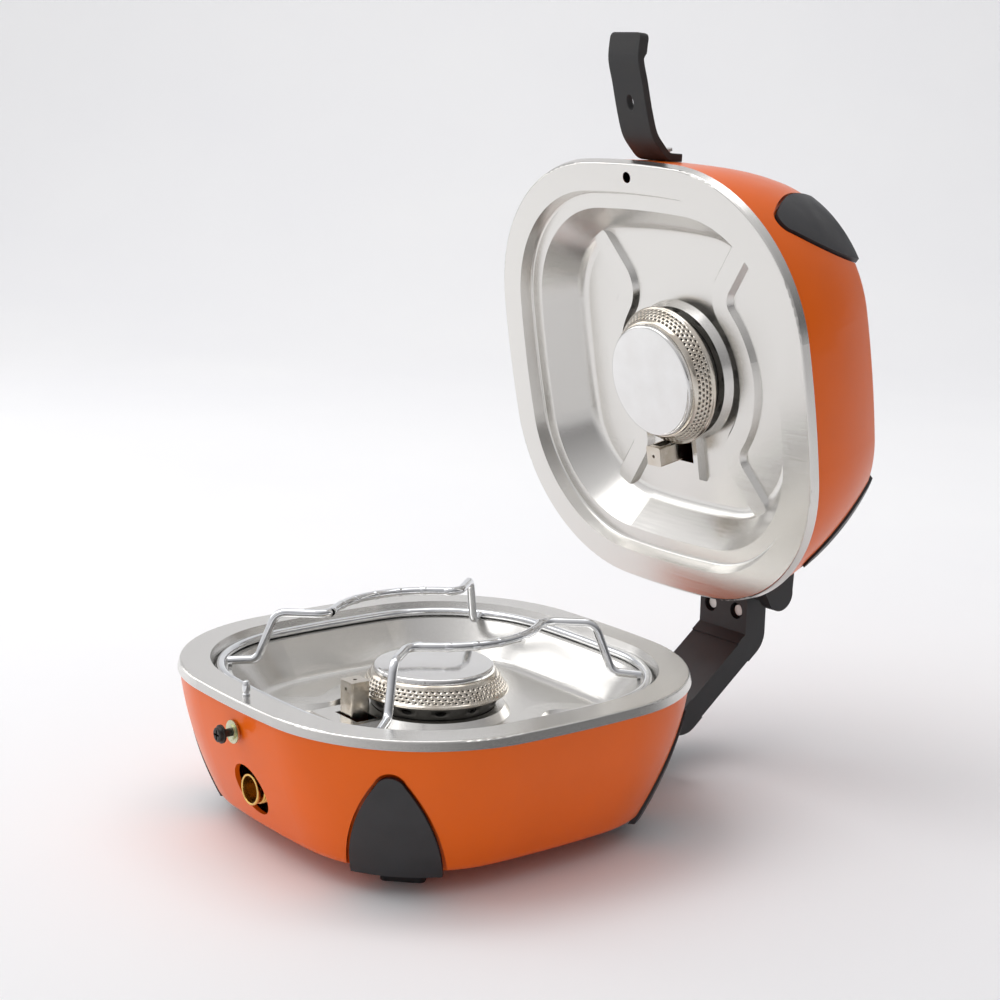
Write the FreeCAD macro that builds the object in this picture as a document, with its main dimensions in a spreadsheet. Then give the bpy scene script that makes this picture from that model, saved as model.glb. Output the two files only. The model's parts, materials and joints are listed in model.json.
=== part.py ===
"""Folding two-burner camping stove: two matching halves joined by a double-pivot hinge arm.

Every half is drawn in its own "half frame": the origin is the centre of the tray's flange plane, +X is to
the right, +Y runs along the tray and +Z points out of the open tray.  The base half stands on its feet.
The lid half is the same set of pieces, swung up about the two hinge pivots.  Millimetres throughout.
"""
import FreeCAD, Part
import math
import os

import Sketcher

os.makedirs("parts", exist_ok=True)
doc = FreeCAD.newDocument("CampingStove")
Vector = FreeCAD.Vector
Rotation = FreeCAD.Rotation
Placement = FreeCAD.Placement

# ---------------------------------------------------------------- driving dimensions
SIZES = [
    # alias, value, meaning
    ("plate_half", 120, "half the side of the flange plane"),
    ("side_radius", 600, "radius of the outline's long side arcs"),
    ("corner_radius", 88.7, "radius of the outline's corner arcs"),
    ("stand_height", 85, "flange plane above the floor"),
    ("floor_gap", 12, "shell's underside above the floor"),
    ("shell_wall", 2.6, "moulded shell wall"),
    ("shell_taper", 0.1, "inward lean of the shell wall at its top, per unit of depth"),
    ("shell_curve", 0.003, "further lean of the shell wall, per unit of depth squared"),
    ("shell_bottom_radius", 9, "rounding of the shell's bottom edge"),
    ("rim_height", 4, "lip of the shell inside the tray's band"),
    ("sheet", 0.8, "tray sheet thickness"),
    ("band_height", 4.6, "rolled side band of the tray"),
    ("band_flare", 1.2, "outward lean of the band"),
    ("flange_width", 15.5, "flat flange round the tray"),
    ("ledge_depth", 7, "ledge that carries the pot support"),
    ("ledge_width", 8, "width of that ledge"),
    ("pan_lean", 15, "inward run of the pan wall"),
    ("floor_depth", 27, "tray floor below the flange"),
    ("pan_radius", 8, "rounding at the foot of the pan wall"),
    ("rib_height", 3, "pressed ribs above the tray floor"),
    ("rib_width", 16.5, "foot width of a pressed rib"),
    ("rib_bend_radius", 53, "radius of the ribs' arcs about the burner"),
    ("rib_end_across", 54, "rib end from the middle, along X"),
    ("rib_end_along", 70, "rib end from the middle, along Y"),
    ("plateau_radius", 37, "raised ring under the burner, top"),
    ("plateau_slope", 3, "outward run of the raised ring's side"),
    ("plateau_height", 4, "raised ring above the tray floor"),
    ("burner_hole", 27, "radius of the tray's burner hole"),
    ("cap_radius", 31, "burner cap disc"),
    ("cap_drop", 2, "burner cap below the flange plane"),
    ("skirt_radius", 37.6, "perforated skirt, lower edge"),
    ("lip_radius", 39, "rolled lip of the skirt"),
    ("skirt_depth", 15.5, "underside of the rolled lip below the flange plane"),
    ("cup_radius", 36, "burner cup, upper edge"),
    ("neck_radius", 26, "burner cup where it passes the tray"),
    ("throat_depth", 47, "mixing tube axis below the flange plane"),
    ("tube_radius", 8, "mixing tube, outside"),
    ("igniter_across", 6, "igniter box from the middle, along -X"),
    ("igniter_along", 45.2, "igniter box from the middle, along -Y"),
    ("igniter_side", 11, "side of the igniter box"),
    ("igniter_top", 5, "igniter box top below the flange plane"),
    ("knob_radius", 15, "gas knob"),
    ("knob_length", 17, "gas knob, length"),
    ("stem_radius", 3, "valve stem"),
    ("running_gap", 0.08, "radial clearance of turning fits"),
    ("button_radius", 6, "igniter button"),
    ("button_travel", 4, "igniter button travel"),
    ("button_along", 34, "igniter button from the knob, along -Y"),
    ("inlet_hole_radius", 13.5, "opening for the gas inlet"),
    ("inlet_drop", 48.5, "gas inlet axis below the flange plane"),
    ("inlet_radius", 8, "gas inlet fitting, outside"),
    ("chassis_width", 98, "steel plate on the base's floor, width"),
    ("chassis_length", 120, "steel plate on the base's floor, length"),
    ("chassis_sheet", 3, "steel plate on the base's floor, thickness"),
    ("peg_drop", 17, "strap peg below the flange plane"),
    ("peg_radius", 2, "strap peg shank"),
    ("pin_radius", 2, "locating pin"),
    ("pin_height", 7.5, "locating pin above the flange"),
    ("pin_inset", 7.4, "locating pin from the flange edge"),
    ("pin_clearance", 1, "radial clearance of the pin's hole in the lid"),
    ("wire_radius", 2.25, "pot support wire"),
    ("support_height", 22, "pot support wire above the flange plane"),
    ("support_angle", 50, "direction of the support's legs from +X, degrees"),
    ("support_arc", 54, "radius of the support's arcs about the burner"),
    ("leg_top", 82, "support leg's upper bend from the middle"),
    ("leg_foot", 92, "support leg's lower bend from the middle"),
    ("foot_width", 44, "corner foot cover, width at the bottom"),
    ("foot_top", 18.8, "corner foot cover, top below the flange plane"),
    ("foot_bottom", 74.5, "corner foot cover, straight edge below the flange plane"),
    ("foot_proud", 1.2, "cover stands out of the shell"),
    ("foot_sink", 4, "depth of the cover's pocket"),
    ("foot_gap", 2, "gap round the cover in its pocket"),
    ("pad_width", 22, "foot pad, width"),
    ("pad_reach", 92, "foot pad's outer face from the middle"),
    ("pad_length", 17, "foot pad, radial length"),
    ("pivot_out", 13.2, "hinge pivot behind the flange edge"),
    ("pivot_drop", 51.9, "hinge pivot below the flange plane"),
    ("closed_gap", 0.6, "gap between the flanges when shut"),
    ("arm_bow", 24.4, "arm's middle behind the line of the pivots"),
    ("arm_bend_radius", 7, "radius of the arm's bends, at its middle"),
    ("arm_waist", 0.8, "how far the arm's straight middle is thinned on each face"),
    ("arm_leg_rise", 19, "arm's bend from the pivot, along the line of the pivots"),
    ("arm_thickness", 15.5, "arm thickness"),
    ("arm_width", 38, "arm width"),
    ("arm_open", 52, "arm swung from shut, degrees"),
    ("lid_open", 79.6, "lid swung from shut, degrees"),
    ("ear_thickness", 8, "hinge bracket's ear"),
    ("ear_reach", 36, "outer face of an ear from the middle"),
    ("ear_radius", 9.5, "rounded end of an ear"),
    ("hinge_pin_radius", 4, "hinge pin"),
    ("strap_width", 24, "latch strap"),
    ("strap_thickness", 3.6, "latch strap"),
    ("strap_length", 63, "latch strap from its bend"),
    ("strap_hole", 28.5, "strap's hole from the bend"),
    ("strap_bend_out", 5.8, "strap's bend outside the flange edge"),
    ("strap_bend_drop", 12, "strap's bend below the flange plane"),
]
sheet = doc.addObject("Spreadsheet::Sheet", "Size")
for row, (alias, number, meaning) in enumerate(SIZES, start=1):
    sheet.set(f"A{row}", meaning)
    sheet.set(f"B{row}", str(number))
    sheet.setAlias(f"B{row}", alias)
doc.recompute()


def size(formula):
    """Value of a formula in the sheet's names, such as "Size.plate_half - Size.shell_wall"."""
    return float(sheet.evalExpression(formula))


S = {alias: size(alias) for alias, number, meaning in SIZES}

# ---------------------------------------------------------------- frames
LATCH_SIDE = 180  # turn about Z that carries a piece from the +Y side to the -Y side
TURN_FROM_Z_TO_MINUS_X = Rotation(Vector(0, 1, 0), -90)
TURN_FROM_Z_TO_MINUS_Y = Rotation(Vector(1, 0, 0), 90)
pivot_along = S["plate_half"] + S["pivot_out"]
pivot_span = 2 * S["pivot_drop"] + S["closed_gap"]
base_frame = Placement(Vector(0, 0, S["stand_height"]), Rotation())
base_pivot = Vector(0, pivot_along, S["stand_height"] - S["pivot_drop"])


def find_lid_frame():
    """The lid's frame: the arm turns about the base pivot, then the lid about the arm's far end."""
    arm = math.radians(S["arm_open"])
    far = base_pivot + Vector(0, math.sin(arm), math.cos(arm)) * pivot_span
    turn = Rotation(Vector(1, 0, 0), 180 - S["lid_open"])
    offset = turn.multVec(Vector(0, -pivot_along, -S["pivot_drop"]))
    return far, Placement(far - offset, turn)


lid_pivot, lid_frame = find_lid_frame()
arm_frame = Placement(base_pivot, Rotation(Vector(1, 0, 0), -S["arm_open"]))
HALVES = {"base": base_frame, "lid": lid_frame}
nodes = []


def keep(piece, label, frame=base_frame, local=None):
    """Names a finished piece, places it and notes it as a sub-part."""
    piece.Label = label
    piece.Placement = frame.multiply(local or Placement())
    nodes.append(piece)
    return piece


def shift(x=0, y=0, z=0, turn=None):
    return Placement(Vector(x, y, z), turn or Rotation())


# ---------------------------------------------------------------- sketch-based pieces
def draw_outline(body, plane_role, name, corners):
    """A closed sketch of straight lines whose corners are formulas in the sheet's names."""
    sketch = body.newObject("Sketcher::SketchObject", name)
    planes = [item for item in body.Origin.OriginFeatures if item.Role == plane_role]
    sketch.AttachmentSupport = [(planes[0], "")]
    sketch.MapMode = "FlatFace"
    values = [(size(across), size(up)) for across, up in corners]
    for here, there in zip(values, values[1:] + values[:1]):
        sketch.addGeometry(Part.LineSegment(Vector(*here, 0), Vector(*there, 0)))
    for index, corner in enumerate(corners):
        following = (index + 1) % len(corners)
        sketch.addConstraint(Sketcher.Constraint("Coincident", index, 2, following, 1))
        for kind, formula, number in zip(("DistanceX", "DistanceY"), corner, values[index]):
            made = sketch.addConstraint(Sketcher.Constraint(kind, -1, 1, index, 1, number))
            sketch.renameConstraint(made, f"{kind}{index}")
            sketch.setExpression(f"Constraints.{kind}{index}", formula)
    return sketch


def turned(name, corners):
    """A body turned about its Z axis from a profile of (radius, height) formulas."""
    body = doc.addObject("PartDesign::Body", name)
    sketch = draw_outline(body, "XZ_Plane", name + "Profile", corners)
    feature = body.newObject("PartDesign::Revolution", name + "Turned")
    feature.Profile = sketch
    feature.ReferenceAxis = (sketch, ["V_Axis"])
    feature.Angle = 360
    return body


def padded(name, plane_role, corners, width, both_ways=True):
    """A body cut from plate: an outline of formulas given a width, about its plane or to one side."""
    body = doc.addObject("PartDesign::Body", name)
    sketch = draw_outline(body, plane_role, name + "Outline", corners)
    feature = body.newObject("PartDesign::Pad", name + "Pad")
    feature.Profile = sketch
    feature.Midplane = both_ways
    feature.setExpression("Length", width)
    body.Tip = feature
    return body


def rounded(body, radius, chosen):
    """Fillets the body's edges that chosen(edge) picks, with a radius formula."""
    doc.recompute()
    base = body.Tip
    names = [f"Edge{n}" for n, edge in enumerate(base.Shape.Edges, start=1) if chosen(edge)]
    feature = body.newObject("PartDesign::Fillet", body.Name + "Rounding")
    feature.Base = (base, names)
    feature.setExpression("Radius", radius)
    body.Tip = feature
    return body


def pierced(body, name, plane_role, corners):
    """Cuts an outline of formulas right through a body, both ways from its plane."""
    before = body.Shape.Volume
    sketch = draw_outline(body, plane_role, name + "Outline", corners)
    feature = body.newObject("PartDesign::Pocket", name)
    feature.Profile = sketch
    feature.Type = "ThroughAll"
    feature.Midplane = True
    body.Tip = feature
    doc.recompute()
    if not body.Shape.Volume < before:
        raise ValueError(f"{name} cuts nothing")
    return body


def shaped(name, shape):
    """A piece whose shape is worked out in code from the sheet."""
    piece = doc.addObject("Part::Feature", name)
    piece.Shape = shape
    return piece


def rectangle(across, up, low=None, left=None):
    """Corner formulas of a rectangle from (left, low) to (across, up)."""
    left = left or f"-({across})"
    low = low or f"-({up})"
    return [(left, low), (across, low), (across, up), (left, up)]


# ---------------------------------------------------------------- code-built shapes
def outline(inset, z):
    """The stove's rounded-square outline, offset inwards, as a closed wire of eight arcs."""
    sides = S["side_radius"] - inset
    corners = S["corner_radius"] - inset
    middle = S["plate_half"] - S["side_radius"]
    reach = S["side_radius"] - S["corner_radius"]
    centre = (2 * middle + math.sqrt(4 * middle**2 - 8 * (middle**2 - reach**2))) / 4
    swing = math.atan2(centre, centre - middle)
    edges = []
    for quarter in range(4):
        turn = math.radians(90) * quarter

        def at(radius, angle, shift_x, shift_y):
            x = shift_x + radius * math.cos(angle)
            y = shift_y + radius * math.sin(angle)
            return Vector(
                x * math.cos(turn) - y * math.sin(turn), x * math.sin(turn) + y * math.cos(turn), z
            )

        edges.append(Part.Arc(*[at(sides, angle, middle, 0) for angle in (-swing, 0, swing)]).toShape())
        eighth = math.radians(45)
        angles = (swing, eighth, 2 * eighth - swing)
        edges.append(Part.Arc(*[at(corners, angle, centre, centre) for angle in angles]).toShape())
    return Part.Wire(edges)


def tapered(top_inset, top, bottom_inset, bottom):
    """A solid between two offset outlines."""
    return Part.makeLoft([outline(bottom_inset, bottom), outline(top_inset, top)], True, True)


def edges_at(shape, z):
    """Edges that lie in the plane at height z."""
    found = []
    for edge in shape.Edges:
        box = edge.BoundBox
        if abs(box.ZMin - z) < 0.01 and abs(box.ZMax - z) < 0.01:
            found.append(edge)
    return found


def block(low, high):
    return Part.makeBox(high.x - low.x, high.y - low.y, high.z - low.z, low)


def rod(radius, start, end):
    return Part.makeCylinder(radius, (end - start).Length, start, end - start)


def bent_path(points, radii):
    """Straight runs joined by tangent arcs: one radius for each inner point."""
    edges = []
    last = points[0]
    for before, corner, after, radius in zip(points, points[1:], points[2:], radii):
        back = (before - corner).normalize()
        ahead = (after - corner).normalize()
        half = back.getAngle(ahead) / 2
        start = corner + back * (radius / math.tan(half))
        end = corner + ahead * (radius / math.tan(half))
        inward = (back + ahead).normalize()
        middle = corner + inward * (radius / math.sin(half) - radius)
        if (start - last).Length > 0.01:
            edges.append(Part.LineSegment(last, start).toShape())
        edges.append(Part.Arc(start, middle, end).toShape())
        last = end
    edges.append(Part.LineSegment(last, points[-1]).toShape())
    return Part.Wire(edges)


def tube_along(path, radius):
    """A round bar along a smooth path."""
    start = path.OrderedVertexes[0].Point
    direction = path.OrderedEdges[0].tangentAt(path.OrderedEdges[0].FirstParameter)
    if (path.OrderedEdges[0].valueAt(path.OrderedEdges[0].FirstParameter) - start).Length > 0.01:
        direction = -path.OrderedEdges[0].tangentAt(path.OrderedEdges[0].LastParameter)
    ring = Part.Wire([Part.makeCircle(radius, start, direction)])
    return path.makePipeShell([ring], True, False)


def polar(radius, degrees, z=0):
    angle = math.radians(degrees)
    return Vector(radius * math.cos(angle), radius * math.sin(angle), z)


# ---------------------------------------------------------------- shells and feet
CORNERS = {"front_right": -45, "front_left": -135, "rear_right": 45, "rear_left": 135}
SHELL_TOP = -(S["band_height"] + 0.2)
SHELL_BOTTOM = S["floor_gap"] - S["stand_height"]
SHELL_SECTIONS = 3  # steps of the smooth loft that gives the wall its curve
OGIVE_WAIST = (0.8, 0.55)  # a foot cover's half-width at a height, as shares of its own
OGIVE_TIP = (0.31, 0.92)
COVER_SHEET = 2  # a foot cover's sheet inside the shell's outer face
COVER_EDGE = 5  # width of its free edge round the part that sits on the pocket's floor
WEB_SHEET = 2.5  # moulding that joins a cover to its pad under the shell


def shell_inset(z):
    """How far the shell's outer wall has leaned in at height z."""
    depth = SHELL_TOP - z
    return S["shell_taper"] * depth + S["shell_curve"] * depth**2


def shell_block(inset, top, bottom, bottom_radius=0):
    """The shell's outer form moved inwards, between two heights, with its bottom edge rounded."""
    levels = [bottom + (top - bottom) * step / SHELL_SECTIONS for step in range(SHELL_SECTIONS + 1)]
    sections = [outline(shell_inset(z) + inset, z) for z in levels]
    solid = Part.makeLoft(sections, True)
    if bottom_radius:
        solid = solid.makeFillet(bottom_radius, edges_at(solid, bottom))
    return solid


def foot_outline(gap, tail=0):
    """Pointed-arch prism through a corner at +X, seen from outside, grown by gap and drawn down by tail."""
    half = S["foot_width"] / 2 + gap
    low = -S["foot_bottom"] - gap
    high = -S["foot_top"] + gap
    near = 60
    far = S["plate_half"] * 1.3

    def point(side, across_share, up_share):
        return Vector(near, side * half * across_share, low + (high - low) * up_share)

    right, left = [
        [point(side, 1, 0), point(side, *OGIVE_WAIST), point(side, *OGIVE_TIP)] for side in (1, -1)
    ]
    edges = [
        Part.Arc(*right).toShape(),
        Part.Arc(right[2], point(0, 0, 1), left[2]).toShape(),
        Part.Arc(*reversed(left)).toShape(),
    ]
    foot = [left[0], left[0] - Vector(0, 0, tail), right[0] - Vector(0, 0, tail), right[0]]
    for start, end in zip(foot, foot[1:]):
        if (end - start).Length > 0:
            edges.append(Part.LineSegment(start, end).toShape())
    return Part.Face(Part.Wire(edges)).extrude(Vector(far - near, 0, 0))


def at_corner(shape, degrees):
    turned_shape = shape.copy()
    turned_shape.rotate(Vector(0, 0, 0), Vector(0, 0, 1), degrees)
    return turned_shape


def screw_axis():
    """The foot screws' distance from the middle."""
    return S["pad_reach"] - S["pad_length"] / 2


SCREW_RADIUS = 1.6
SCREW_HEAD_RADIUS = 3
SCREW_HEAD = 2.2
PAD_RECESS = 6
FOOT_SCREW = 12
PAD_ROUNDING = 3
RIM_INSETS = (1.3, 3.6)  # outer and inner face of the lip, from the outline
HATCH_RADIUS = 6  # opening behind the hinge for the gas line
STRAP_SCREWS = (-7, 7)  # across the strap
STRAP_SCREW_BACK = 12  # the strap's screws below its bend
STRAP_SCREW_RADIUS = 1.5


def make_shell(half):
    """Deep moulded shell with four foot pockets and its own side's openings."""
    wall = S["shell_wall"]
    outer = shell_block(0, SHELL_TOP, SHELL_BOTTOM, S["shell_bottom_radius"])
    inner = shell_block(wall, SHELL_TOP, SHELL_BOTTOM + wall, S["shell_bottom_radius"] - wall)
    backed = shell_block(S["foot_sink"] + wall, 0, SHELL_BOTTOM - 2)
    backing = foot_outline(S["foot_gap"] + wall, S["floor_gap"]).cut(at_corner(backed, 45))
    for degrees in CORNERS.values():
        inner = inner.cut(at_corner(backing, degrees))
    shell = outer.cut(inner)
    rim_top = SHELL_TOP + S["rim_height"] - 0.1
    rim_low = SHELL_TOP - 4
    rim_solids = [tapered(rim_inset, rim_top, rim_inset, rim_low) for rim_inset in RIM_INSETS]
    rim = rim_solids[0].cut(rim_solids[1])
    shell = shell.fuse(rim.common(shell_block(0, rim_top + 1, rim_low)))
    tail = S["floor_gap"]
    sunk = shell_block(S["foot_sink"], 0, SHELL_BOTTOM - 2)
    pocket = foot_outline(S["foot_gap"], tail).cut(at_corner(sunk, 45))
    for degrees in CORNERS.values():
        shell = shell.cut(at_corner(pocket, degrees))
        spot = polar(screw_axis(), degrees)
        shell = shell.cut(rod(SCREW_RADIUS, spot + Vector(0, 0, SHELL_BOTTOM - 1), spot + Vector(0, 0, -60)))
    side = S["plate_half"]
    knob_axis = Vector(-side - 5, 0, -S["throat_depth"])
    shell = shell.cut(rod(S["stem_radius"] + 1.5, knob_axis, knob_axis + Vector(40, 0, 0)))
    button_axis = knob_axis - Vector(0, S["button_along"], 0)
    shell = shell.cut(rod(S["button_radius"] + 0.4, button_axis, button_axis + Vector(40, 0, 0)))
    hinge_side = 1 if half == "base" else -1
    hatch = Vector(0, hinge_side * (side - 25), -S["pivot_drop"])
    shell = shell.cut(rod(HATCH_RADIUS, hatch, hatch + Vector(0, hinge_side * 40, 0)))
    if half == "base":
        inlet = Vector(0, -side + 30, -S["inlet_drop"])
        shell = shell.cut(rod(S["inlet_hole_radius"], inlet, inlet - Vector(0, 45, 0)))
        peg = Vector(0, -side + 25, -S["peg_drop"])
        shell = shell.cut(rod(S["peg_radius"] + 0.1, peg, peg - Vector(0, 40, 0)))
    for screw_x in STRAP_SCREWS if half == "lid" else ():
        screw = Vector(screw_x, side - 20, -S["strap_bend_drop"] - STRAP_SCREW_BACK)
        shell = shell.cut(rod(STRAP_SCREW_RADIUS, screw, screw + Vector(0, 30, 0)))
    keep(shaped(half + "_shell", shell), half + "_shell", HALVES[half])


def make_feet(half):
    """Four corner feet, each one moulding: a pointed cover over the shell's pocket and a pad below."""
    def form(inset, bottom=SHELL_BOTTOM - 2, radius=0):
        return at_corner(shell_block(inset, 0, bottom, radius), 45)

    sheet_part = foot_outline(0).common(form(-S["foot_proud"])).cut(form(COVER_SHEET))
    seat_part = foot_outline(-COVER_EDGE).common(form(COVER_SHEET - 1)).cut(form(S["foot_sink"] - 0.05))
    shell_form = form(0, SHELL_BOTTOM, S["shell_bottom_radius"])
    reach = S["pad_reach"]
    width = S["pad_width"] / 2
    floor = -S["stand_height"]
    pad = block(Vector(reach - S["pad_length"], -width, floor), Vector(reach, width, SHELL_BOTTOM + 1))
    upright = [edge for edge in pad.Edges if abs(edge.tangentAt(edge.FirstParameter).z) > 0.99]
    pad = pad.makeFillet(PAD_ROUNDING, upright)
    web = block(Vector(reach - S["pad_length"] / 2, -width, SHELL_BOTTOM - WEB_SHEET),
                Vector(S["plate_half"] * 1.2, width, -S["foot_bottom"] + WEB_SHEET))
    web_form = form(-S["foot_proud"] / 2, SHELL_BOTTOM - WEB_SHEET, S["shell_bottom_radius"] + WEB_SHEET / 2)
    spot = Vector(screw_axis(), 0, 0)
    foot = sheet_part.fuse([seat_part, pad.cut(shell_form), web.common(web_form).cut(shell_form)])
    foot = foot.cut(rod(SCREW_RADIUS + 0.1, spot + Vector(0, 0, floor - 1), spot + Vector(0, 0, -60)))
    foot = foot.cut(rod(SCREW_HEAD_RADIUS + 0.3, spot + Vector(0, 0, floor - 1),
                        spot + Vector(0, 0, floor + PAD_RECESS)))
    screws = []
    for corner, degrees in CORNERS.items():
        turn = Placement(Vector(), Rotation(Vector(0, 0, 1), degrees))
        name = f"{half}_foot_{corner}"
        keep(shaped(name, foot.removeSplitter()), name, HALVES[half], turn)
        low = polar(screw_axis(), degrees, floor + PAD_RECESS)
        head = rod(SCREW_HEAD_RADIUS, low - Vector(0, 0, SCREW_HEAD), low)
        screws.append(head.fuse(rod(SCREW_RADIUS, low, low + Vector(0, 0, FOOT_SCREW))).removeSplitter())
    keep(shaped(half + "_foot_screws", Part.makeCompound(screws)), half + "_foot_screws", HALVES[half])


# ---------------------------------------------------------------- tray
def rib_path(side, z):
    """A rib: in from a corner of the floor, round the burner, out to the next corner."""
    end = Vector(S["rib_end_across"], S["rib_end_along"], z)
    bend = math.degrees(math.atan2(end.y, end.x))
    outer = [(math.hypot(end.x, end.y), z)]
    return side_path(side, S["rib_bend_radius"], bend, outer, z, knee_radius=S["rib_width"] * 0.85)


def side_path(side, arc_radius, direction, outer, z, bends=(), knee_radius=8):
    """A path symmetric about X: outer (distance, height) points, then an arc about the middle.

    The arc is a polygon drawn round its circle whose corners are rounded by the circle's own radius."""
    arc_half = 36
    step = 24
    knee = polar(arc_radius / math.cos(math.radians(direction - arc_half)), direction, z)
    outside = arc_radius / math.cos(math.radians(step / 2))
    upper = [polar(distance, direction, height) for distance, height in outer] + [knee]
    middle = [polar(outside, step * n, z) for n in (1, 0, -1)]
    lower = [Vector(point.x, -point.y, point.z) for point in reversed(upper)]
    points = [Vector(side * point.x, point.y, point.z) for point in upper + middle + lower]
    radii = list(bends) + [knee_radius] + [arc_radius] * 3 + [knee_radius] + list(reversed(bends))
    return bent_path(points, radii)


def rib(side, width, low, high):
    """A pressed rib: a wide outline at its foot and a narrower one on top."""
    lean = (high - low) * 0.8
    foot = rib_path(side, low).makeOffset2D(width / 2)
    top = rib_path(side, high).makeOffset2D(width / 2 - lean)
    return Part.makeLoft([foot, top], True, True)


def pan(grow):
    """The tray's hollow, or its outer form when grown by the sheet: step, ledge, sloping wall."""
    flange = S["flange_width"] - grow
    ledge = -S["ledge_depth"] - grow
    floor = -S["floor_depth"] - grow
    step_lean = 2.5
    step = tapered(flange, 0, flange + step_lean, ledge)
    step = step.makeFillet(1.5 + grow, edges_at(step, ledge))
    pan_inset = S["flange_width"] + step_lean + S["ledge_width"] - grow
    wall = tapered(pan_inset, -S["ledge_depth"] + 0.5, pan_inset + S["pan_lean"], floor)
    wall = wall.makeFillet(S["pan_radius"] + grow, edges_at(wall, floor))
    return step.fuse(wall)


def raised_patch(grow):
    """The raised ring round the burner with its tab for the igniter; grow shrinks it for the underside."""
    floor = -S["floor_depth"] - grow
    top = floor + S["plateau_height"]
    radius = S["plateau_radius"] - grow
    ring = Part.makeCone(radius + S["plateau_slope"], radius, S["plateau_height"], Vector(0, 0, floor))
    tab_half = S["igniter_side"] * 1.45 - grow
    tab_end = -S["igniter_along"] - S["igniter_side"] * 1.45 + grow
    low_wire = Part.makePolygon([
        Vector(-S["igniter_across"] + sx * (tab_half + 2), y, floor)
        for sx, y in ((-1, tab_end - 2), (1, tab_end - 2), (1, 0), (-1, 0), (-1, tab_end - 2))
    ])
    high_wire = Part.makePolygon([
        Vector(-S["igniter_across"] + sx * tab_half, y, top)
        for sx, y in ((-1, tab_end), (1, tab_end), (1, 0), (-1, 0), (-1, tab_end))
    ])
    tab = Part.makeLoft([low_wire, high_wire], True, True)
    return ring.fuse(tab)


def igniter_slot():
    """Rectangular slot in the tab, a little longer than the igniter box towards +X."""
    half = S["igniter_side"] / 2
    low = Vector(-S["igniter_across"] - half - 2, -S["igniter_along"] - half - 1.5, -S["floor_depth"] - 5)
    high = Vector(-S["igniter_across"] + half + 7, -S["igniter_along"] + half + 0.5, -S["floor_depth"] + 8)
    return block(low, high)


def make_tray(half):
    """One pressed sheet: rolled band, flange, ledge, pan with ribs, raised ring and igniter slot."""
    sheet_metal = S["sheet"]
    bottom = -S["band_height"]
    flare = S["band_flare"]
    outer = tapered(0, 0, -flare, bottom)
    outer = outer.makeFillet(1.2, edges_at(outer, 0))
    band = outer.cut(tapered(sheet_metal, -sheet_metal, sheet_metal - flare, bottom))
    hollow = pan(0).cut(raised_patch(0))
    form = pan(sheet_metal).cut(raised_patch(sheet_metal))
    floor = -S["floor_depth"]
    for side in (-1, 1):
        hollow = hollow.cut(rib(side, S["rib_width"], floor - 0.5, floor + S["rib_height"]))
        under = floor - sheet_metal
        form = form.cut(rib(side, S["rib_width"] - sheet_metal, under - 0.5, under + S["rib_height"]))
    tray = band.fuse(form).cut(hollow)
    tray = tray.cut(rod(S["burner_hole"], Vector(0, 0, floor - 8), Vector(0, 0, floor + 8)))
    tray = tray.cut(igniter_slot())
    pin_spot = Vector(0, S["plate_half"] - S["pin_inset"], 0)
    if half == "base":
        spot = -pin_spot
        radius = S["pin_radius"]
    else:
        spot = pin_spot
        radius = S["pin_radius"] + S["pin_clearance"]
    tray = tray.cut(rod(radius, spot + Vector(0, 0, -6), spot + Vector(0, 0, 6)))
    keep(shaped(half + "_tray", tray), half + "_tray", HALVES[half])


# ---------------------------------------------------------------- burner
MIXER_START = -66  # along X: open end of the mixing tube
VALVE_END = -72  # end of the valve body that faces the burner
VALVE_HALF = 9  # half the side of the square valve body
STEM_END = -84  # inner end of the valve stem
STEM_IN_KNOB = 12
KNOB_FACE = -S["plate_half"] + shell_inset(-S["throat_depth"] + S["knob_radius"]) - 0.8
VALVE_FACE = KNOB_FACE + 11  # end of the valve body that faces the wall
PIPE_RADIUS = 2.5
PIPE_DROP = 17  # pipes run this far below the mixing tube's axis


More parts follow.
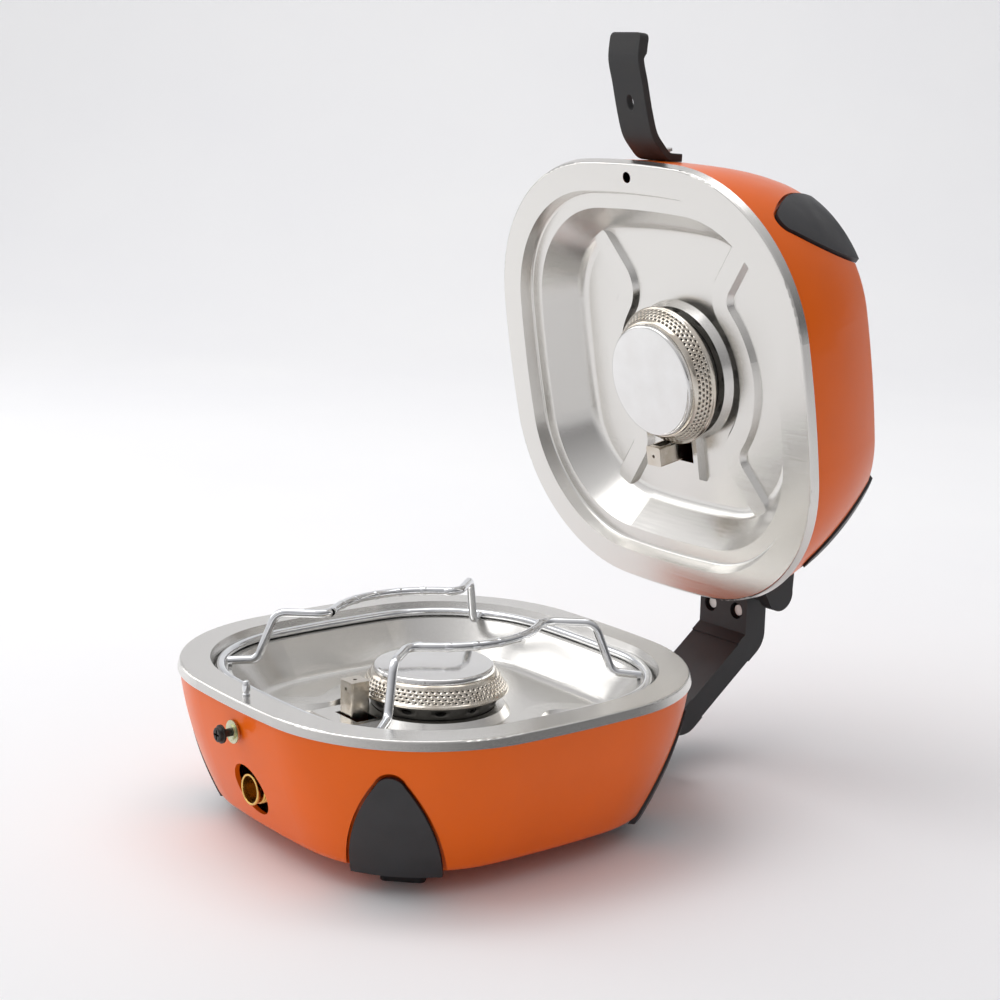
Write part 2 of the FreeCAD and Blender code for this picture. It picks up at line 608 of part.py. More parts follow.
def make_burner(half):
    """Cap, perforated skirt, cup, mixing tube and jet, all on the burner's axis or its side tube."""
    frame = HALVES[half]
    cap = turned(half + "BurnerCap", [
        ("0", "-Size.cap_drop - 1"),
        ("Size.cap_radius - 1.6", "-Size.cap_drop - 1"),
        ("Size.cap_radius - 1.6", "-Size.cap_drop - 3"),
        ("Size.cap_radius", "-Size.cap_drop - 3"),
        ("Size.cap_radius", "-Size.cap_drop - 0.6"),
        ("Size.cap_radius - 0.8", "-Size.cap_drop"),
        ("0", "-Size.cap_drop"),
    ])
    keep(cap, half + "_burner_cap", frame)
    skirt = turned(half + "BurnerSkirt", [
        ("Size.cap_radius - 3.5", "-Size.cap_drop - 3"),
        ("Size.cap_radius + 0.8", "-Size.cap_drop - 3"),
        ("Size.cap_radius + 1.6", "-Size.cap_drop - 3.6"),
        ("Size.skirt_radius", "-Size.skirt_depth + 2.2"),
        ("Size.lip_radius", "-Size.skirt_depth + 1.8"),
        ("Size.lip_radius", "-Size.skirt_depth + 0.3"),
        ("Size.lip_radius - 0.4", "-Size.skirt_depth"),
        ("Size.skirt_radius - 2", "-Size.skirt_depth"),
        ("Size.skirt_radius - 2", "-Size.skirt_depth + 1"),
        ("Size.skirt_radius - 1", "-Size.skirt_depth + 1.4"),
        ("Size.cap_radius + 0.6", "-Size.cap_drop - 4.2"),
        ("Size.cap_radius - 3.5", "-Size.cap_drop - 4.2"),
    ])
    keep(skirt, half + "_burner_skirt", frame)
    seat = "-Size.floor_depth + Size.plateau_height"
    cup = turned(half + "BurnerCup", [
        ("0", "-Size.throat_depth + Size.tube_radius + 1"),
        ("Size.neck_radius - 6", "-Size.throat_depth + Size.tube_radius + 1"),
        ("Size.neck_radius", seat + " - 4"),
        ("Size.neck_radius", seat),
        ("Size.plateau_radius - 4", seat),
        ("Size.cup_radius", "-Size.skirt_depth"),
        ("Size.cup_radius - 1.2", "-Size.skirt_depth"),
        ("Size.plateau_radius - 5", seat + " + 1.2"),
        ("Size.neck_radius - 1.2", seat + " + 1.2"),
        ("Size.neck_radius - 1.2", seat + " - 3.6"),
        ("Size.neck_radius - 7", "-Size.throat_depth + Size.tube_radius + 2.4"),
        ("0", "-Size.throat_depth + Size.tube_radius + 2.4"),
    ])
    keep(cup, half + "_burner_cup", frame)
    axis = -S["throat_depth"]
    top = axis + S["tube_radius"] + 1
    outer = rod(S["tube_radius"], Vector(MIXER_START, 0, axis), Vector(6, 0, axis))
    outer = outer.fuse(rod(S["tube_radius"], Vector(0, 0, axis - 3), Vector(0, 0, top)))
    bore = rod(S["tube_radius"] - 1.2, Vector(MIXER_START - 1, 0, axis), Vector(4.8, 0, axis))
    bore = bore.fuse(rod(S["tube_radius"] - 1.2, Vector(0, 0, axis), Vector(0, 0, top + 1)))
    air_hole = block(Vector(MIXER_START + 4, -20, axis - 3), Vector(MIXER_START + 12, 20, axis + 3))
    mixer = outer.cut(bore).cut(air_hole)
    keep(shaped(half + "_mixing_tube", mixer), half + "_mixing_tube", frame)
    jet = turned(half + "GasJet", [
        ("0.6", "0"), ("3", "0"), ("3", "4"), ("2", "6"), ("2", "9"), ("0.4", "9"),
    ])
    to_x = Rotation(Vector(0, 1, 0), 90)
    keep(jet, half + "_gas_jet", frame, shift(VALVE_END, 0, axis, to_x))


# ---------------------------------------------------------------- gas controls
BUTTON_FLANGE = 1.5  # the button's flange inside the wall, beyond its radius
PIEZO_RADIUS = 5.5
PLUNGER_ROOM = 2.1  # radius of the piezo unit's bore for the button's plunger


def make_controls(half):
    """Valve body, turning stem and knob on the -X side, and the igniter button beside them."""
    frame = HALVES[half]
    axis = -S["throat_depth"]
    low = Vector(VALVE_FACE, -VALVE_HALF, axis - VALVE_HALF)
    body = block(low, Vector(VALVE_END, VALVE_HALF, axis + VALVE_HALF))
    body = body.makeFillet(2, body.Edges)
    stem_room = S["stem_radius"] + S["running_gap"]
    stem_hole = rod(stem_room, Vector(VALVE_FACE - 1, 0, axis), Vector(STEM_END, 0, axis))
    middle = (VALVE_FACE + VALVE_END) / 2
    gas_port = rod(PIPE_RADIUS, Vector(middle, VALVE_HALF + 1, axis), Vector(middle, 3, axis))
    keep(shaped(half + "_valve_body", body.cut(stem_hole).cut(gas_port)), half + "_valve_body", frame)
    length = f"{STEM_END - KNOB_FACE + STEM_IN_KNOB}"
    stem = turned(half + "ValveStem", [("0", "0"), ("Size.stem_radius", "0"), ("Size.stem_radius", length),
                                       ("0", length)])
    keep(stem, half + "_valve_stem", frame, shift(STEM_END, 0, axis, TURN_FROM_Z_TO_MINUS_X))
    knob = turned(half + "Knob", [
        ("Size.stem_radius", "0"),
        ("Size.knob_radius", "0"),
        ("Size.knob_radius", "Size.knob_length * 0.35"),
        ("Size.knob_radius - 2.5", "Size.knob_length * 0.5"),
        ("Size.knob_radius - 3", "Size.knob_length - 1.5"),
        ("Size.knob_radius - 4.5", "Size.knob_length"),
        ("0", "Size.knob_length"),
        ("0", str(STEM_IN_KNOB)),
        ("Size.stem_radius", str(STEM_IN_KNOB)),
    ])
    keep(knob, half + "_knob", frame, shift(KNOB_FACE, 0, axis, TURN_FROM_Z_TO_MINUS_X))
    along = -S["button_along"]
    out = S["button_travel"] + 5
    flange = f"Size.button_radius + {BUTTON_FLANGE}"
    button = turned(half + "IgniterButton", [
        ("0", "-14"), ("2", "-14"), ("2", "-2.5"), (flange, "-2.5"), (flange, "-1.5"),
        ("Size.button_radius", "-1.5"), ("Size.button_radius", f"{out + 2}"),
        ("Size.button_radius - 1", f"{out + 3}"), ("0", f"{out + 3}"),
    ])
    flange_low = axis - S["button_radius"] - BUTTON_FLANGE
    button_base = -S["plate_half"] + shell_inset(flange_low) + S["shell_wall"]
    keep(button, half + "_igniter_button", frame, shift(button_base, along, axis, TURN_FROM_Z_TO_MINUS_X))
    case = str(PIEZO_RADIUS)
    bore = str(PLUNGER_ROOM)
    piezo = turned(half + "PiezoUnit", [
        (bore, "0"), (case, "0"), (case, "-32"), ("0", "-32"), ("0", "-19"), (bore, "-19"),
    ])
    piezo_base = button_base + S["button_travel"] + 3.2
    keep(piezo, half + "_piezo_unit", frame, shift(piezo_base, along, axis, TURN_FROM_Z_TO_MINUS_X))


# ---------------------------------------------------------------- igniter
def make_igniter(half):
    """Square steel box over the electrode, open below and towards the burner."""
    frame = HALVES[half]
    local = shift(-S["igniter_across"], -S["igniter_along"], 0)
    half_side = S["igniter_side"] / 2
    low = -S["floor_depth"] - 2
    top = -S["igniter_top"]
    wall = 0.8
    box = block(Vector(-half_side, -half_side, low), Vector(half_side, half_side, top))
    upright = [edge for edge in box.Edges if abs(edge.tangentAt(edge.FirstParameter).z) > 0.99]
    box = box.makeFillet(1, upright)
    inside = block(Vector(-half_side + wall, -half_side + wall, low - 1),
                   Vector(half_side - wall, half_side - wall, top - wall))
    window = block(Vector(-half_side + 2, 0, low + 8), Vector(half_side - 2, half_side + 1, top - 3))
    box = box.cut(inside).cut(window)
    box = box.cut(rod(1, Vector(0, 0, top - 3), Vector(0, 0, top + 1)))
    box = box.cut(rod(0.9, Vector(0, -half_side - 1, top - 4), Vector(0, -1, top - 4)))
    tongue = block(Vector(-3.5, half_side - wall, low), Vector(3.5, half_side + 3, low + wall))
    shroud = shaped(half + "_igniter_shroud", box.fuse(tongue).removeSplitter())
    keep(shroud, half + "_igniter_shroud", frame, local)
    seat = "-Size.floor_depth"
    tip = "-Size.igniter_top"
    electrode = turned(half + "IgniterElectrode", [
        ("0", seat + " - 16"), ("2.2", seat + " - 16"), ("2.2", seat + " - 6"),
        ("3", seat + " - 5"), ("3", seat + " - 3"), ("2.2", seat + " - 2"),
        ("2.2", tip + " - 11"), ("0.7", tip + " - 10"), ("0.7", tip + " - 4"),
        ("0", tip + " - 3.5"),
    ])
    keep(electrode, half + "_igniter_electrode", frame, local)


# ---------------------------------------------------------------- gas inlet and pipes
INLET_FACE = -S["plate_half"] + shell_inset(-S["inlet_drop"]) - 1  # along Y: the fitting's open end
INLET_LENGTH = 19
BRACKET_SHEET = 1.5
BRACKET_HALF = 17
REGULATOR_HALF = 13
REGULATOR_LENGTH = 22
REGULATOR_PORT = 10  # outlet from the regulator's front face
CHASSIS_GAP = 0.5  # between the plate's edges and the shell


def make_gas_inlet():
    """Brass inlet fitting behind the front opening, the regulator it feeds and the plate that holds both."""
    fitting = turned("GasInletFitting", [
        ("2", "0"), ("11", "0"), ("11", "5"), ("Size.inlet_radius - 1", "5"), ("Size.inlet_radius - 1", "7"),
        ("Size.inlet_radius", "7.8"), ("Size.inlet_radius", f"{INLET_LENGTH - 1}"),
        ("Size.inlet_radius - 1", f"{INLET_LENGTH}"), ("Size.inlet_radius - 1.4", f"{INLET_LENGTH}"),
        ("Size.inlet_radius - 1.4", "4"), ("2", "4"),
    ])
    start = INLET_FACE + INLET_LENGTH
    keep(fitting, "gas_inlet_fitting", base_frame, shift(0, start, -S["inlet_drop"], TURN_FROM_Z_TO_MINUS_Y))
    half = REGULATOR_HALF
    port = Vector(0, REGULATOR_PORT, 0)
    body = block(Vector(-half, 0, -half), Vector(half, REGULATOR_LENGTH, half))
    body = body.makeFillet(3, body.Edges)
    body = body.cut(rod(PIPE_RADIUS, port, port - Vector(half + 7, 0, 0)))
    body = body.cut(rod(2, Vector(0, -1, 0), port))
    behind = shift(0, start + BRACKET_SHEET, -S["inlet_drop"])
    keep(shaped("gas_regulator", body), "gas_regulator", base_frame, behind)
    low = SHELL_BOTTOM + S["shell_wall"]
    plate = block(Vector(-BRACKET_HALF, start, low),
                  Vector(BRACKET_HALF, start + BRACKET_SHEET, -S["inlet_drop"] + 15))
    half_width = S["chassis_width"] / 2
    floor_plate = block(Vector(-half_width, start, low),
                        Vector(half_width, start + S["chassis_length"], low + S["chassis_sheet"]))
    wall = S["shell_wall"]
    room = shell_block(wall + CHASSIS_GAP, 0, low + 0.05, S["shell_bottom_radius"] - wall)
    chassis = plate.fuse(floor_plate).common(room).removeSplitter()
    gas_way = Vector(0, start - 1, -S["inlet_drop"])
    chassis = chassis.cut(rod(2, gas_way, gas_way + Vector(0, 10, 0)))
    keep(shaped("base_chassis_plate", chassis), "base_chassis_plate", base_frame)


def make_pipes():
    """Brass pipes: regulator to valve to hinge in the base, hinge to valve in the lid."""
    valve_x = (VALVE_FACE + VALVE_END) / 2
    axis = -S["throat_depth"]
    low = axis - PIPE_DROP
    start = INLET_FACE + INLET_LENGTH + BRACKET_SHEET + REGULATOR_PORT
    feed = bent_path([
        Vector(-12.5, start, -S["inlet_drop"]), Vector(-62, start, -S["inlet_drop"]),
        Vector(-62, start, low), Vector(-62, 40, low), Vector(-14, 78, low), Vector(0, 88, -S["pivot_drop"]),
        Vector(0, 102, -S["pivot_drop"]),
    ], [9, 9, 20, 9, 9])
    branch = bent_path([
        Vector(valve_x, VALVE_HALF - 4, axis), Vector(valve_x, 24, axis), Vector(valve_x, 32, low),
        Vector(-61, 36, low),
    ], [7, 7])
    pipe = tube_along(feed, PIPE_RADIUS - 0.1).fuse(tube_along(branch, PIPE_RADIUS - 0.1))
    keep(shaped("base_gas_pipe", pipe), "base_gas_pipe", base_frame)
    lid_run = bent_path([
        Vector(valve_x, VALVE_HALF - 4, axis), Vector(valve_x, 24, axis), Vector(valve_x + 12, 34, low),
        Vector(-40, 20, low), Vector(-40, -52, low), Vector(-10, -78, low), Vector(0, -88, -S["pivot_drop"]),
        Vector(0, -102, -S["pivot_drop"]),
    ], [7, 7, 9, 18, 9, 9])
    keep(shaped("lid_gas_pipe", tube_along(lid_run, PIPE_RADIUS - 0.1)), "lid_gas_pipe", lid_frame)


# ---------------------------------------------------------------- locating pin and strap peg
PEG_STANDOFF = 6.2  # underside of the peg's head from the flange edge
PEG_HEAD = 3


def make_front_hardware():
    """Locating pin on the front flange, and the screw that the strap hooks over."""
    pin = turned("LocatingPin", [
        ("0", "-3"), ("3.5", "-3"), ("3.5", "-Size.sheet"), ("Size.pin_radius", "-Size.sheet"),
        ("Size.pin_radius", "Size.pin_height - 1.6"), ("Size.pin_radius * 0.55", "Size.pin_height"),
        ("0", "Size.pin_height"),
    ])
    keep(pin, "locating_pin", base_frame, shift(0, -S["plate_half"] + S["pin_inset"], 0))
    wall = -S["plate_half"] + shell_inset(-S["peg_drop"])
    outward = S["plate_half"] + wall + PEG_STANDOFF
    peg = turned("StrapPeg", [
        ("0", "-6"), ("Size.peg_radius", "-6"), ("Size.peg_radius", f"{outward}"),
        ("4.6", f"{outward}"), ("4.6", f"{outward} + 0.9"), ("3.8", f"{outward} + 1.2"),
        ("3.6", f"{outward} + 2.6"), ("2.8", f"{outward + PEG_HEAD}"), ("0", f"{outward + PEG_HEAD}"),
    ])
    peg_local = shift(0, wall, -S["peg_drop"], TURN_FROM_Z_TO_MINUS_Y)
    peg = cut_cross(peg, outward + PEG_HEAD)
    keep(peg, "strap_peg", base_frame, peg_local)
    nut = turned("StrapPegNut", [
        ("Size.peg_radius", "1.5"), ("5.8", "1.5"), ("5.8", "2.3"), ("3.8", "2.4"), ("3.8", "3.3"),
        ("Size.peg_radius", "3.3"),
    ])
    keep(nut, "strap_peg_nut", base_frame, peg_local)


def cut_cross(body, top):
    """A cross recess in a screw head whose face is at height top, opening along +Z."""
    doc.recompute()
    for turn, (across, up) in enumerate((("2.4", "0.5"), ("0.5", "2.4"))):
        sketch = draw_outline(body, "XY_Plane", f"{body.Name}Cross{turn}", rectangle(across, up))
        sketch.AttachmentOffset = shift(0, 0, top)
        before = body.Shape.Volume
        feature = body.newObject("PartDesign::Pocket", f"{body.Name}Slot{turn}")
        feature.Profile = sketch
        feature.Length = 1.3
        body.Tip = feature
        doc.recompute()
        if not body.Shape.Volume < before:
            raise ValueError("the cross recess cuts nothing")
    return body


# ---------------------------------------------------------------- pot support
def make_pot_support():
    """Chrome wire ring on the ledge with two bent wires welded to it."""
    ring_z = -S["ledge_depth"] + S["wire_radius"] + 0.05
    ring_inset = S["flange_width"] + 2.5 + S["wire_radius"] + 0.7
    ring_path = outline(ring_inset, ring_z)
    ring = tube_along(ring_path, S["wire_radius"])
    keep(shaped("pot_support_ring", ring), "pot_support_ring", base_frame)
    angle = S["support_angle"]
    foot_end = ring_radius_at(ring_inset, angle) - S["wire_radius"] * 1.5
    for name, side in (("left", -1), ("right", 1)):
        outer = [(foot_end, ring_z), (S["leg_foot"], ring_z + 1.2), (S["leg_top"], S["support_height"])]
        path = side_path(side, S["support_arc"], angle, outer, S["support_height"], (6, 7))
        wire = tube_along(path, S["wire_radius"])
        keep(shaped("pot_support_wire_" + name, wire), "pot_support_wire_" + name, base_frame)


def ring_radius_at(inset, degrees):
    """Distance from the middle to the inset outline in a direction, by cutting it with a ray."""
    ray = Part.LineSegment(Vector(0, 0, 0), polar(S["plate_half"] * 2, degrees)).toShape()
    return max(vertex.Point.Length for vertex in outline(inset, 0).section(ray).Vertexes)


# ---------------------------------------------------------------- hinge
PIN_COVER = 2  # plastic left over each end of a hinge pin
BOSS_RADIUS = 7.2  # boss on an ear's inner face
ARM_SIDE_GAP = 0.35


def make_hinge_brackets():
    """A moulded bracket on the back of each half: a pad on the wall and two ears with bosses."""
    ear_outer = S["ear_reach"]
    ear_inner = ear_outer - S["ear_thickness"]
    z = -S["pivot_drop"]
    low = z - BRACKET_HALF
    high = z + BRACKET_HALF
    wall_low = S["plate_half"] - shell_inset(z)
    inside = wall_low - 12
    pad = block(Vector(-ear_outer, inside, low), Vector(ear_outer, wall_low + 6, high))
    outline_edges = [
        Part.LineSegment(Vector(0, inside, low), Vector(0, inside, high)).toShape(),
        Part.LineSegment(Vector(0, inside, high), Vector(0, wall_low + 4, high)).toShape(),
    ]
    radius = S["ear_radius"]
    tip = Vector(0, pivot_along + 1.5, z - 1.5)
    slope = Vector(0, 0.22, 1).normalize()
    upper_tip = tip + slope * radius
    lower_tip = tip - Vector(0, 0, radius)
    outline_edges += [
        Part.LineSegment(Vector(0, wall_low + 4, high), upper_tip).toShape(),
        Part.Arc(upper_tip, tip + Vector(0, radius, 0), lower_tip).toShape(),
        Part.LineSegment(lower_tip, Vector(0, wall_low + 2, low)).toShape(),
        Part.LineSegment(Vector(0, wall_low + 2, low), Vector(0, inside, low)).toShape(),
    ]
    ear_face = Part.Face(Part.Wire(outline_edges))
    ear = ear_face.extrude(Vector(S["ear_thickness"], 0, 0))
    bracket = pad
    arm_half = S["arm_width"] / 2 + ARM_SIDE_GAP
    pivot = Vector(0, pivot_along, z)
    for side in (-1, 1):
        copy = ear.copy()
        copy.translate(Vector(ear_inner if side > 0 else -ear_outer, 0, 0))
        boss = rod(BOSS_RADIUS, pivot + Vector(side * arm_half, 0, 0), pivot + Vector(side * ear_inner, 0, 0))
        bracket = bracket.fuse([copy, boss])
    bracket = bracket.cut(shell_block(-0.05, 0, SHELL_BOTTOM, S["shell_bottom_radius"]))
    pin_end = Vector(ear_outer - PIN_COVER, 0, 0)
    bore = rod(S["hinge_pin_radius"], pivot - pin_end, pivot + pin_end)
    leg_end = Vector(arm_half, 0, 0)
    leg_room = rod(S["arm_thickness"] / 2 + 1.2, pivot - leg_end, pivot + leg_end)
    bracket = bracket.cut(bore).cut(leg_room).removeSplitter()
    nipple = rod(5.6, Vector(0, wall_low - 10, z), Vector(0, wall_low + 1, z))
    nipple = nipple.cut(rod(PIPE_RADIUS, Vector(0, wall_low - 11, z), Vector(0, wall_low - 4, z)))
    bracket = bracket.fuse(nipple).removeSplitter()
    for half in HALVES:
        degrees = 0 if half == "base" else LATCH_SIDE
        turn = Placement(Vector(), Rotation(Vector(0, 0, 1), degrees))
        keep(shaped(half + "_hinge_bracket", bracket), half + "_hinge_bracket", HALVES[half], turn)
        near = f"{PIN_COVER} - Size.ear_reach"
        far = f"Size.ear_reach - {PIN_COVER}"
        pin = turned(half + "HingePin", [
            ("0", near), ("Size.hinge_pin_radius", near), ("Size.hinge_pin_radius", far), ("0", far),
        ])
        sign = 1 if half == "base" else -1
        across = Rotation(Vector(0, 1, 0), 90)
        keep(pin, half + "_hinge_pin", HALVES[half], shift(0, sign * pivot_along, z, across))


ARM_WAIST_START = 11  # the thinned middle starts this far from each bend's corner
ARM_SCREW_SPREAD = 10.5
ARM_SCREW_SINK = 4
ARM_SCREW_LENGTH = 8.5
ARM_RECESS_RADIUS = 4.8
ARM_HEAD_RADIUS = 3.1
ARM_SHANK_RADIUS = 1.6
HOSE_RADIUS = 3.2
HOSE_BEND = 14


def arm_points():
    """Corners of the arm's middle line in its own frame: base pivot, two bends, lid pivot."""
    rise = S["arm_leg_rise"]
    bow = S["arm_bow"]
    far_rise = pivot_span - rise
    return [Vector(0, 0, 0), Vector(0, bow, rise), Vector(0, bow, far_rise), Vector(0, 0, pivot_span)]


def across_arm(face, width):
    """A face in the plane X = 0 thickened evenly both ways along X."""
    solid = face.extrude(Vector(width, 0, 0))
    solid.translate(Vector(-width / 2, 0, 0))
    return solid


def front_of_arm():
    """The room on the cover's side of the arm's middle line, less the round eyes at the pivots."""
    start, bend, far_bend, end = arm_points()
    line = bent_path([start, bend, far_bend, end], [S["arm_bend_radius"]] * 2)
    away = Vector(0, -S["arm_width"], 0)
    sides = [(end, end + away), (end + away, start + away), (start + away, start)]
    wire = Part.Wire(line.Edges + [Part.LineSegment(*side).toShape() for side in sides])
    room = across_arm(Part.Face(wire), S["arm_width"] + 4)
    reach = Vector(S["arm_width"], 0, 0)
    for point in (start, end):
        room = room.cut(rod(S["arm_thickness"] / 2 + 0.6, point - reach, point + reach))
    return room


def arm_block():
    """The whole arm before it is split: a bent bar with round ends, thinned along its straight middle."""
    start, bend, far_bend, end = arm_points()
    half = S["arm_thickness"] / 2
    line = bent_path([start, bend, far_bend, end], [S["arm_bend_radius"]] * 2)
    arm = across_arm(Part.Face(line.makeOffset2D(half)), S["arm_width"])
    reach = Vector(S["arm_width"], 0, 0)
    low = bend.z + ARM_WAIST_START
    high = far_bend.z - ARM_WAIST_START
    for side in (-1, 1):
        near = bend.y + side * (half - S["arm_waist"])
        far = near + side * half
        arm = arm.cut(block(Vector(-reach.x, min(near, far), low), Vector(reach.x, max(near, far), high)))
    for point in (start, end):
        bore_radius = S["hinge_pin_radius"] + S["running_gap"]
        arm = arm.cut(rod(bore_radius, point - reach, point + reach))
    return arm


def make_arm():
    """The double-pivot arm: a back half with the pivot eyes, a front cover, screws and the gas hose."""
    start, bend, far_bend, end = arm_points()
    radius = S["arm_thickness"] / 2
    inward = (bend - start).normalize() * (radius + 2)
    outward = (far_bend - end).normalize() * (radius + 2)
    channel = bent_path([start + inward, bend, far_bend, end + outward], [HOSE_BEND] * 2)
    arm = arm_block().cut(tube_along(channel, HOSE_RADIUS + 0.8))
    front_room = front_of_arm()
    front = arm.common(front_room)
    back = arm.cut(front_room)
    screws = []
    for knee, toe in ((bend, start), (far_bend, end)):
        along = (toe - knee).normalize()
        normal = Vector(0, -along.z, along.y)
        if normal.y > 0:
            normal = -normal
        spot = knee + along * ((toe - knee).Length * 0.52)
        for side in (-1, 1):
            face = spot + Vector(side * ARM_SCREW_SPREAD, 0, 0) + normal * radius
            seat = face - normal * ARM_SCREW_SINK
            tip = seat - normal * ARM_SCREW_LENGTH
            front = front.cut(rod(ARM_RECESS_RADIUS, seat, face + normal * 5))
            shank_room = rod(ARM_SHANK_RADIUS + 0.1, tip, seat)
            front = front.cut(shank_room)
            back = back.cut(shank_room)
            head = rod(ARM_HEAD_RADIUS, seat, seat + normal * 2)
            screws.append(head.fuse(rod(ARM_SHANK_RADIUS, tip, seat)).removeSplitter())
    keep(shaped("hinge_arm_back", back), "hinge_arm_back", arm_frame)
    keep(shaped("hinge_arm_front", front), "hinge_arm_front", arm_frame)
    keep(shaped("hinge_arm_screws", Part.makeCompound(screws)), "hinge_arm_screws", arm_frame)
    hose_path = bent_path([start + inward * 1.05, bend, far_bend, end + outward * 1.05], [HOSE_BEND] * 2)
    keep(shaped("hinge_gas_hose", tube_along(hose_path, HOSE_RADIUS)), "hinge_gas_hose", arm_frame)


# ---------------------------------------------------------------- latch strap
KNUCKLE_RADIUS = 3.2
STRAP_FACE = 4  # outer face of the tongue from its bend's axis
STRAP_END_EXTRA = 2.4  # the tongue's end is thicker by this much
STRAP_FOOT = 19  # foot below the bend
STRAP_FOOT_SHEET = 4.6


def make_latch_strap():
    """Rubber strap: a foot screwed to the lid's wall and a tongue that swings about its bend."""
    bend = shift(0, S["plate_half"] + S["strap_bend_out"], -S["strap_bend_drop"])
    length = S["strap_length"]
    half = S["strap_width"] / 2
    face = str(STRAP_FACE)
    back = f"{STRAP_FACE} - Size.strap_thickness"
    end_back = f"{back} - {STRAP_END_EXTRA}"
    tongue = padded("LatchStrap", "YZ_Plane", [
        ("0", back), ("Size.strap_length - 14", back), ("Size.strap_length - 11", end_back),
        ("Size.strap_length", end_back), ("Size.strap_length", face), ("0", face),
    ], "Size.strap_width")

    def across_corner(edge):
        box = edge.BoundBox
        return box.XLength < 0.01 and box.YLength < 0.01 and box.YMin > length - 1

    rounded(tongue, "4", across_corner)
    doc.recompute()
    hole_low = "Size.strap_hole - 4.6"
    hole_high = "Size.strap_hole + 4.6"
    pierced(tongue, "StrapHole", "XY_Plane", rectangle("2.9", hole_high, hole_low))
    knuckle = tongue.newObject("PartDesign::AdditiveCylinder", "StrapKnuckle")
    plane = [item for item in tongue.Origin.OriginFeatures if item.Role == "YZ_Plane"][0]
    knuckle.AttachmentSupport = [(plane, "")]
    knuckle.MapMode = "FlatFace"
    knuckle.AttachmentOffset = shift(0, 0, -half)
    knuckle.Radius = KNUCKLE_RADIUS
    knuckle.setExpression("Height", "Size.strap_width")
    tongue.Tip = knuckle
    keep(tongue, "latch_strap", lid_frame, bend)
    bend_axis = Vector(0, S["plate_half"] + S["strap_bend_out"], -S["strap_bend_drop"])
    across = Vector(40, 0, 0)
    foot = block(Vector(-half, 60, bend_axis.z - STRAP_FOOT), bend_axis + Vector(half, -0.2, -0.4))
    foot = foot.common(shell_block(-STRAP_FOOT_SHEET, 0, SHELL_BOTTOM))
    foot = foot.cut(shell_block(-0.05, 0, SHELL_BOTTOM))
    foot = foot.cut(rod(KNUCKLE_RADIUS + 0.3, bend_axis - across, bend_axis + across))
    for screw_x in STRAP_SCREWS:
        screw = Vector(screw_x, 90, -S["strap_bend_drop"] - STRAP_SCREW_BACK)
        foot = foot.cut(rod(STRAP_SCREW_RADIUS, screw, screw + Vector(0, 60, 0)))
    keep(shaped("strap_anchor", foot), "strap_anchor", lid_frame)
    screws = []
    z = -S["strap_bend_drop"] - STRAP_SCREW_BACK
    top = S["plate_half"] - shell_inset(z) + 5.4
    for screw_x in STRAP_SCREWS:
        shank = rod(STRAP_SCREW_RADIUS, Vector(screw_x, top - 14, z), Vector(screw_x, top, z))
        head = rod(2.9, Vector(screw_x, top, z), Vector(screw_x, top + 1.4, z))
        screws.append(shank.fuse(head).removeSplitter())
    keep(shaped("strap_screws", Part.makeCompound(screws)), "strap_screws", lid_frame)


# ---------------------------------------------------------------- assembly
def check_and_write():
    """Stops on any failed feature or bad shape, then writes one STEP file for each sub-part."""
    doc.recompute()
    for item in doc.Objects:
        if {"Invalid", "Error"} & set(item.State):
            raise ValueError(f"{item.Label} failed to recompute")
    for piece in nodes:
        if piece.Shape.isNull() or not piece.Shape.isValid():
            raise ValueError(f"{piece.Label} has no valid shape")
    for piece in nodes:
        piece.Shape.exportStep(f"parts/{piece.Label}.step")


for which in HALVES:
    make_shell(which)
    make_feet(which)
    make_tray(which)
    make_burner(which)
    make_controls(which)
    make_igniter(which)
make_gas_inlet()
make_pipes()
make_front_hardware()
make_pot_support()
make_hinge_brackets()
make_arm()
make_latch_strap()
check_and_write()
print(len(nodes), "sub-parts written")
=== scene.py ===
"""Looks of a folding two-burner camping stove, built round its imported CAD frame.

The stove has two matching halves.  Each half is drawn in millimetres in its own half frame: the origin is
the middle of the tray's flange plane and +Z points out of the open tray.  half_frames() works out where they
stand.
"""

import bisect
import json
import math

import bmesh
import bpy
from bpy.props import FloatProperty, FloatVectorProperty, IntProperty, PointerProperty
from mathutils import Matrix, Vector


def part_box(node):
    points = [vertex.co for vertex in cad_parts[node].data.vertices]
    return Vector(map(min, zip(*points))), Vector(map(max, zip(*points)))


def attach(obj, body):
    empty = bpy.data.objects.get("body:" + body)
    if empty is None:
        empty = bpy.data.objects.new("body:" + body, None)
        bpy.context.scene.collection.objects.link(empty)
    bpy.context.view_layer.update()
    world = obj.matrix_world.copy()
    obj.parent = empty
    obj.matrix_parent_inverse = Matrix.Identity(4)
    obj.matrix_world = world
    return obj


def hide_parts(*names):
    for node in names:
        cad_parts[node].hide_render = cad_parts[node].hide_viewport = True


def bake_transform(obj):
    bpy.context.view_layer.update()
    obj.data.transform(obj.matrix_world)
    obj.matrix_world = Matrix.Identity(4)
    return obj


bl_info = {
    "name": "Folding camping stove",
    "version": (1, 0, 0),
    "blender": (4, 5, 0),
    "location": "View3D > Sidebar > Stove",
    "description": "Builds the visible pieces and finishes of a folding two-burner camping stove",
    "category": "Object",
}

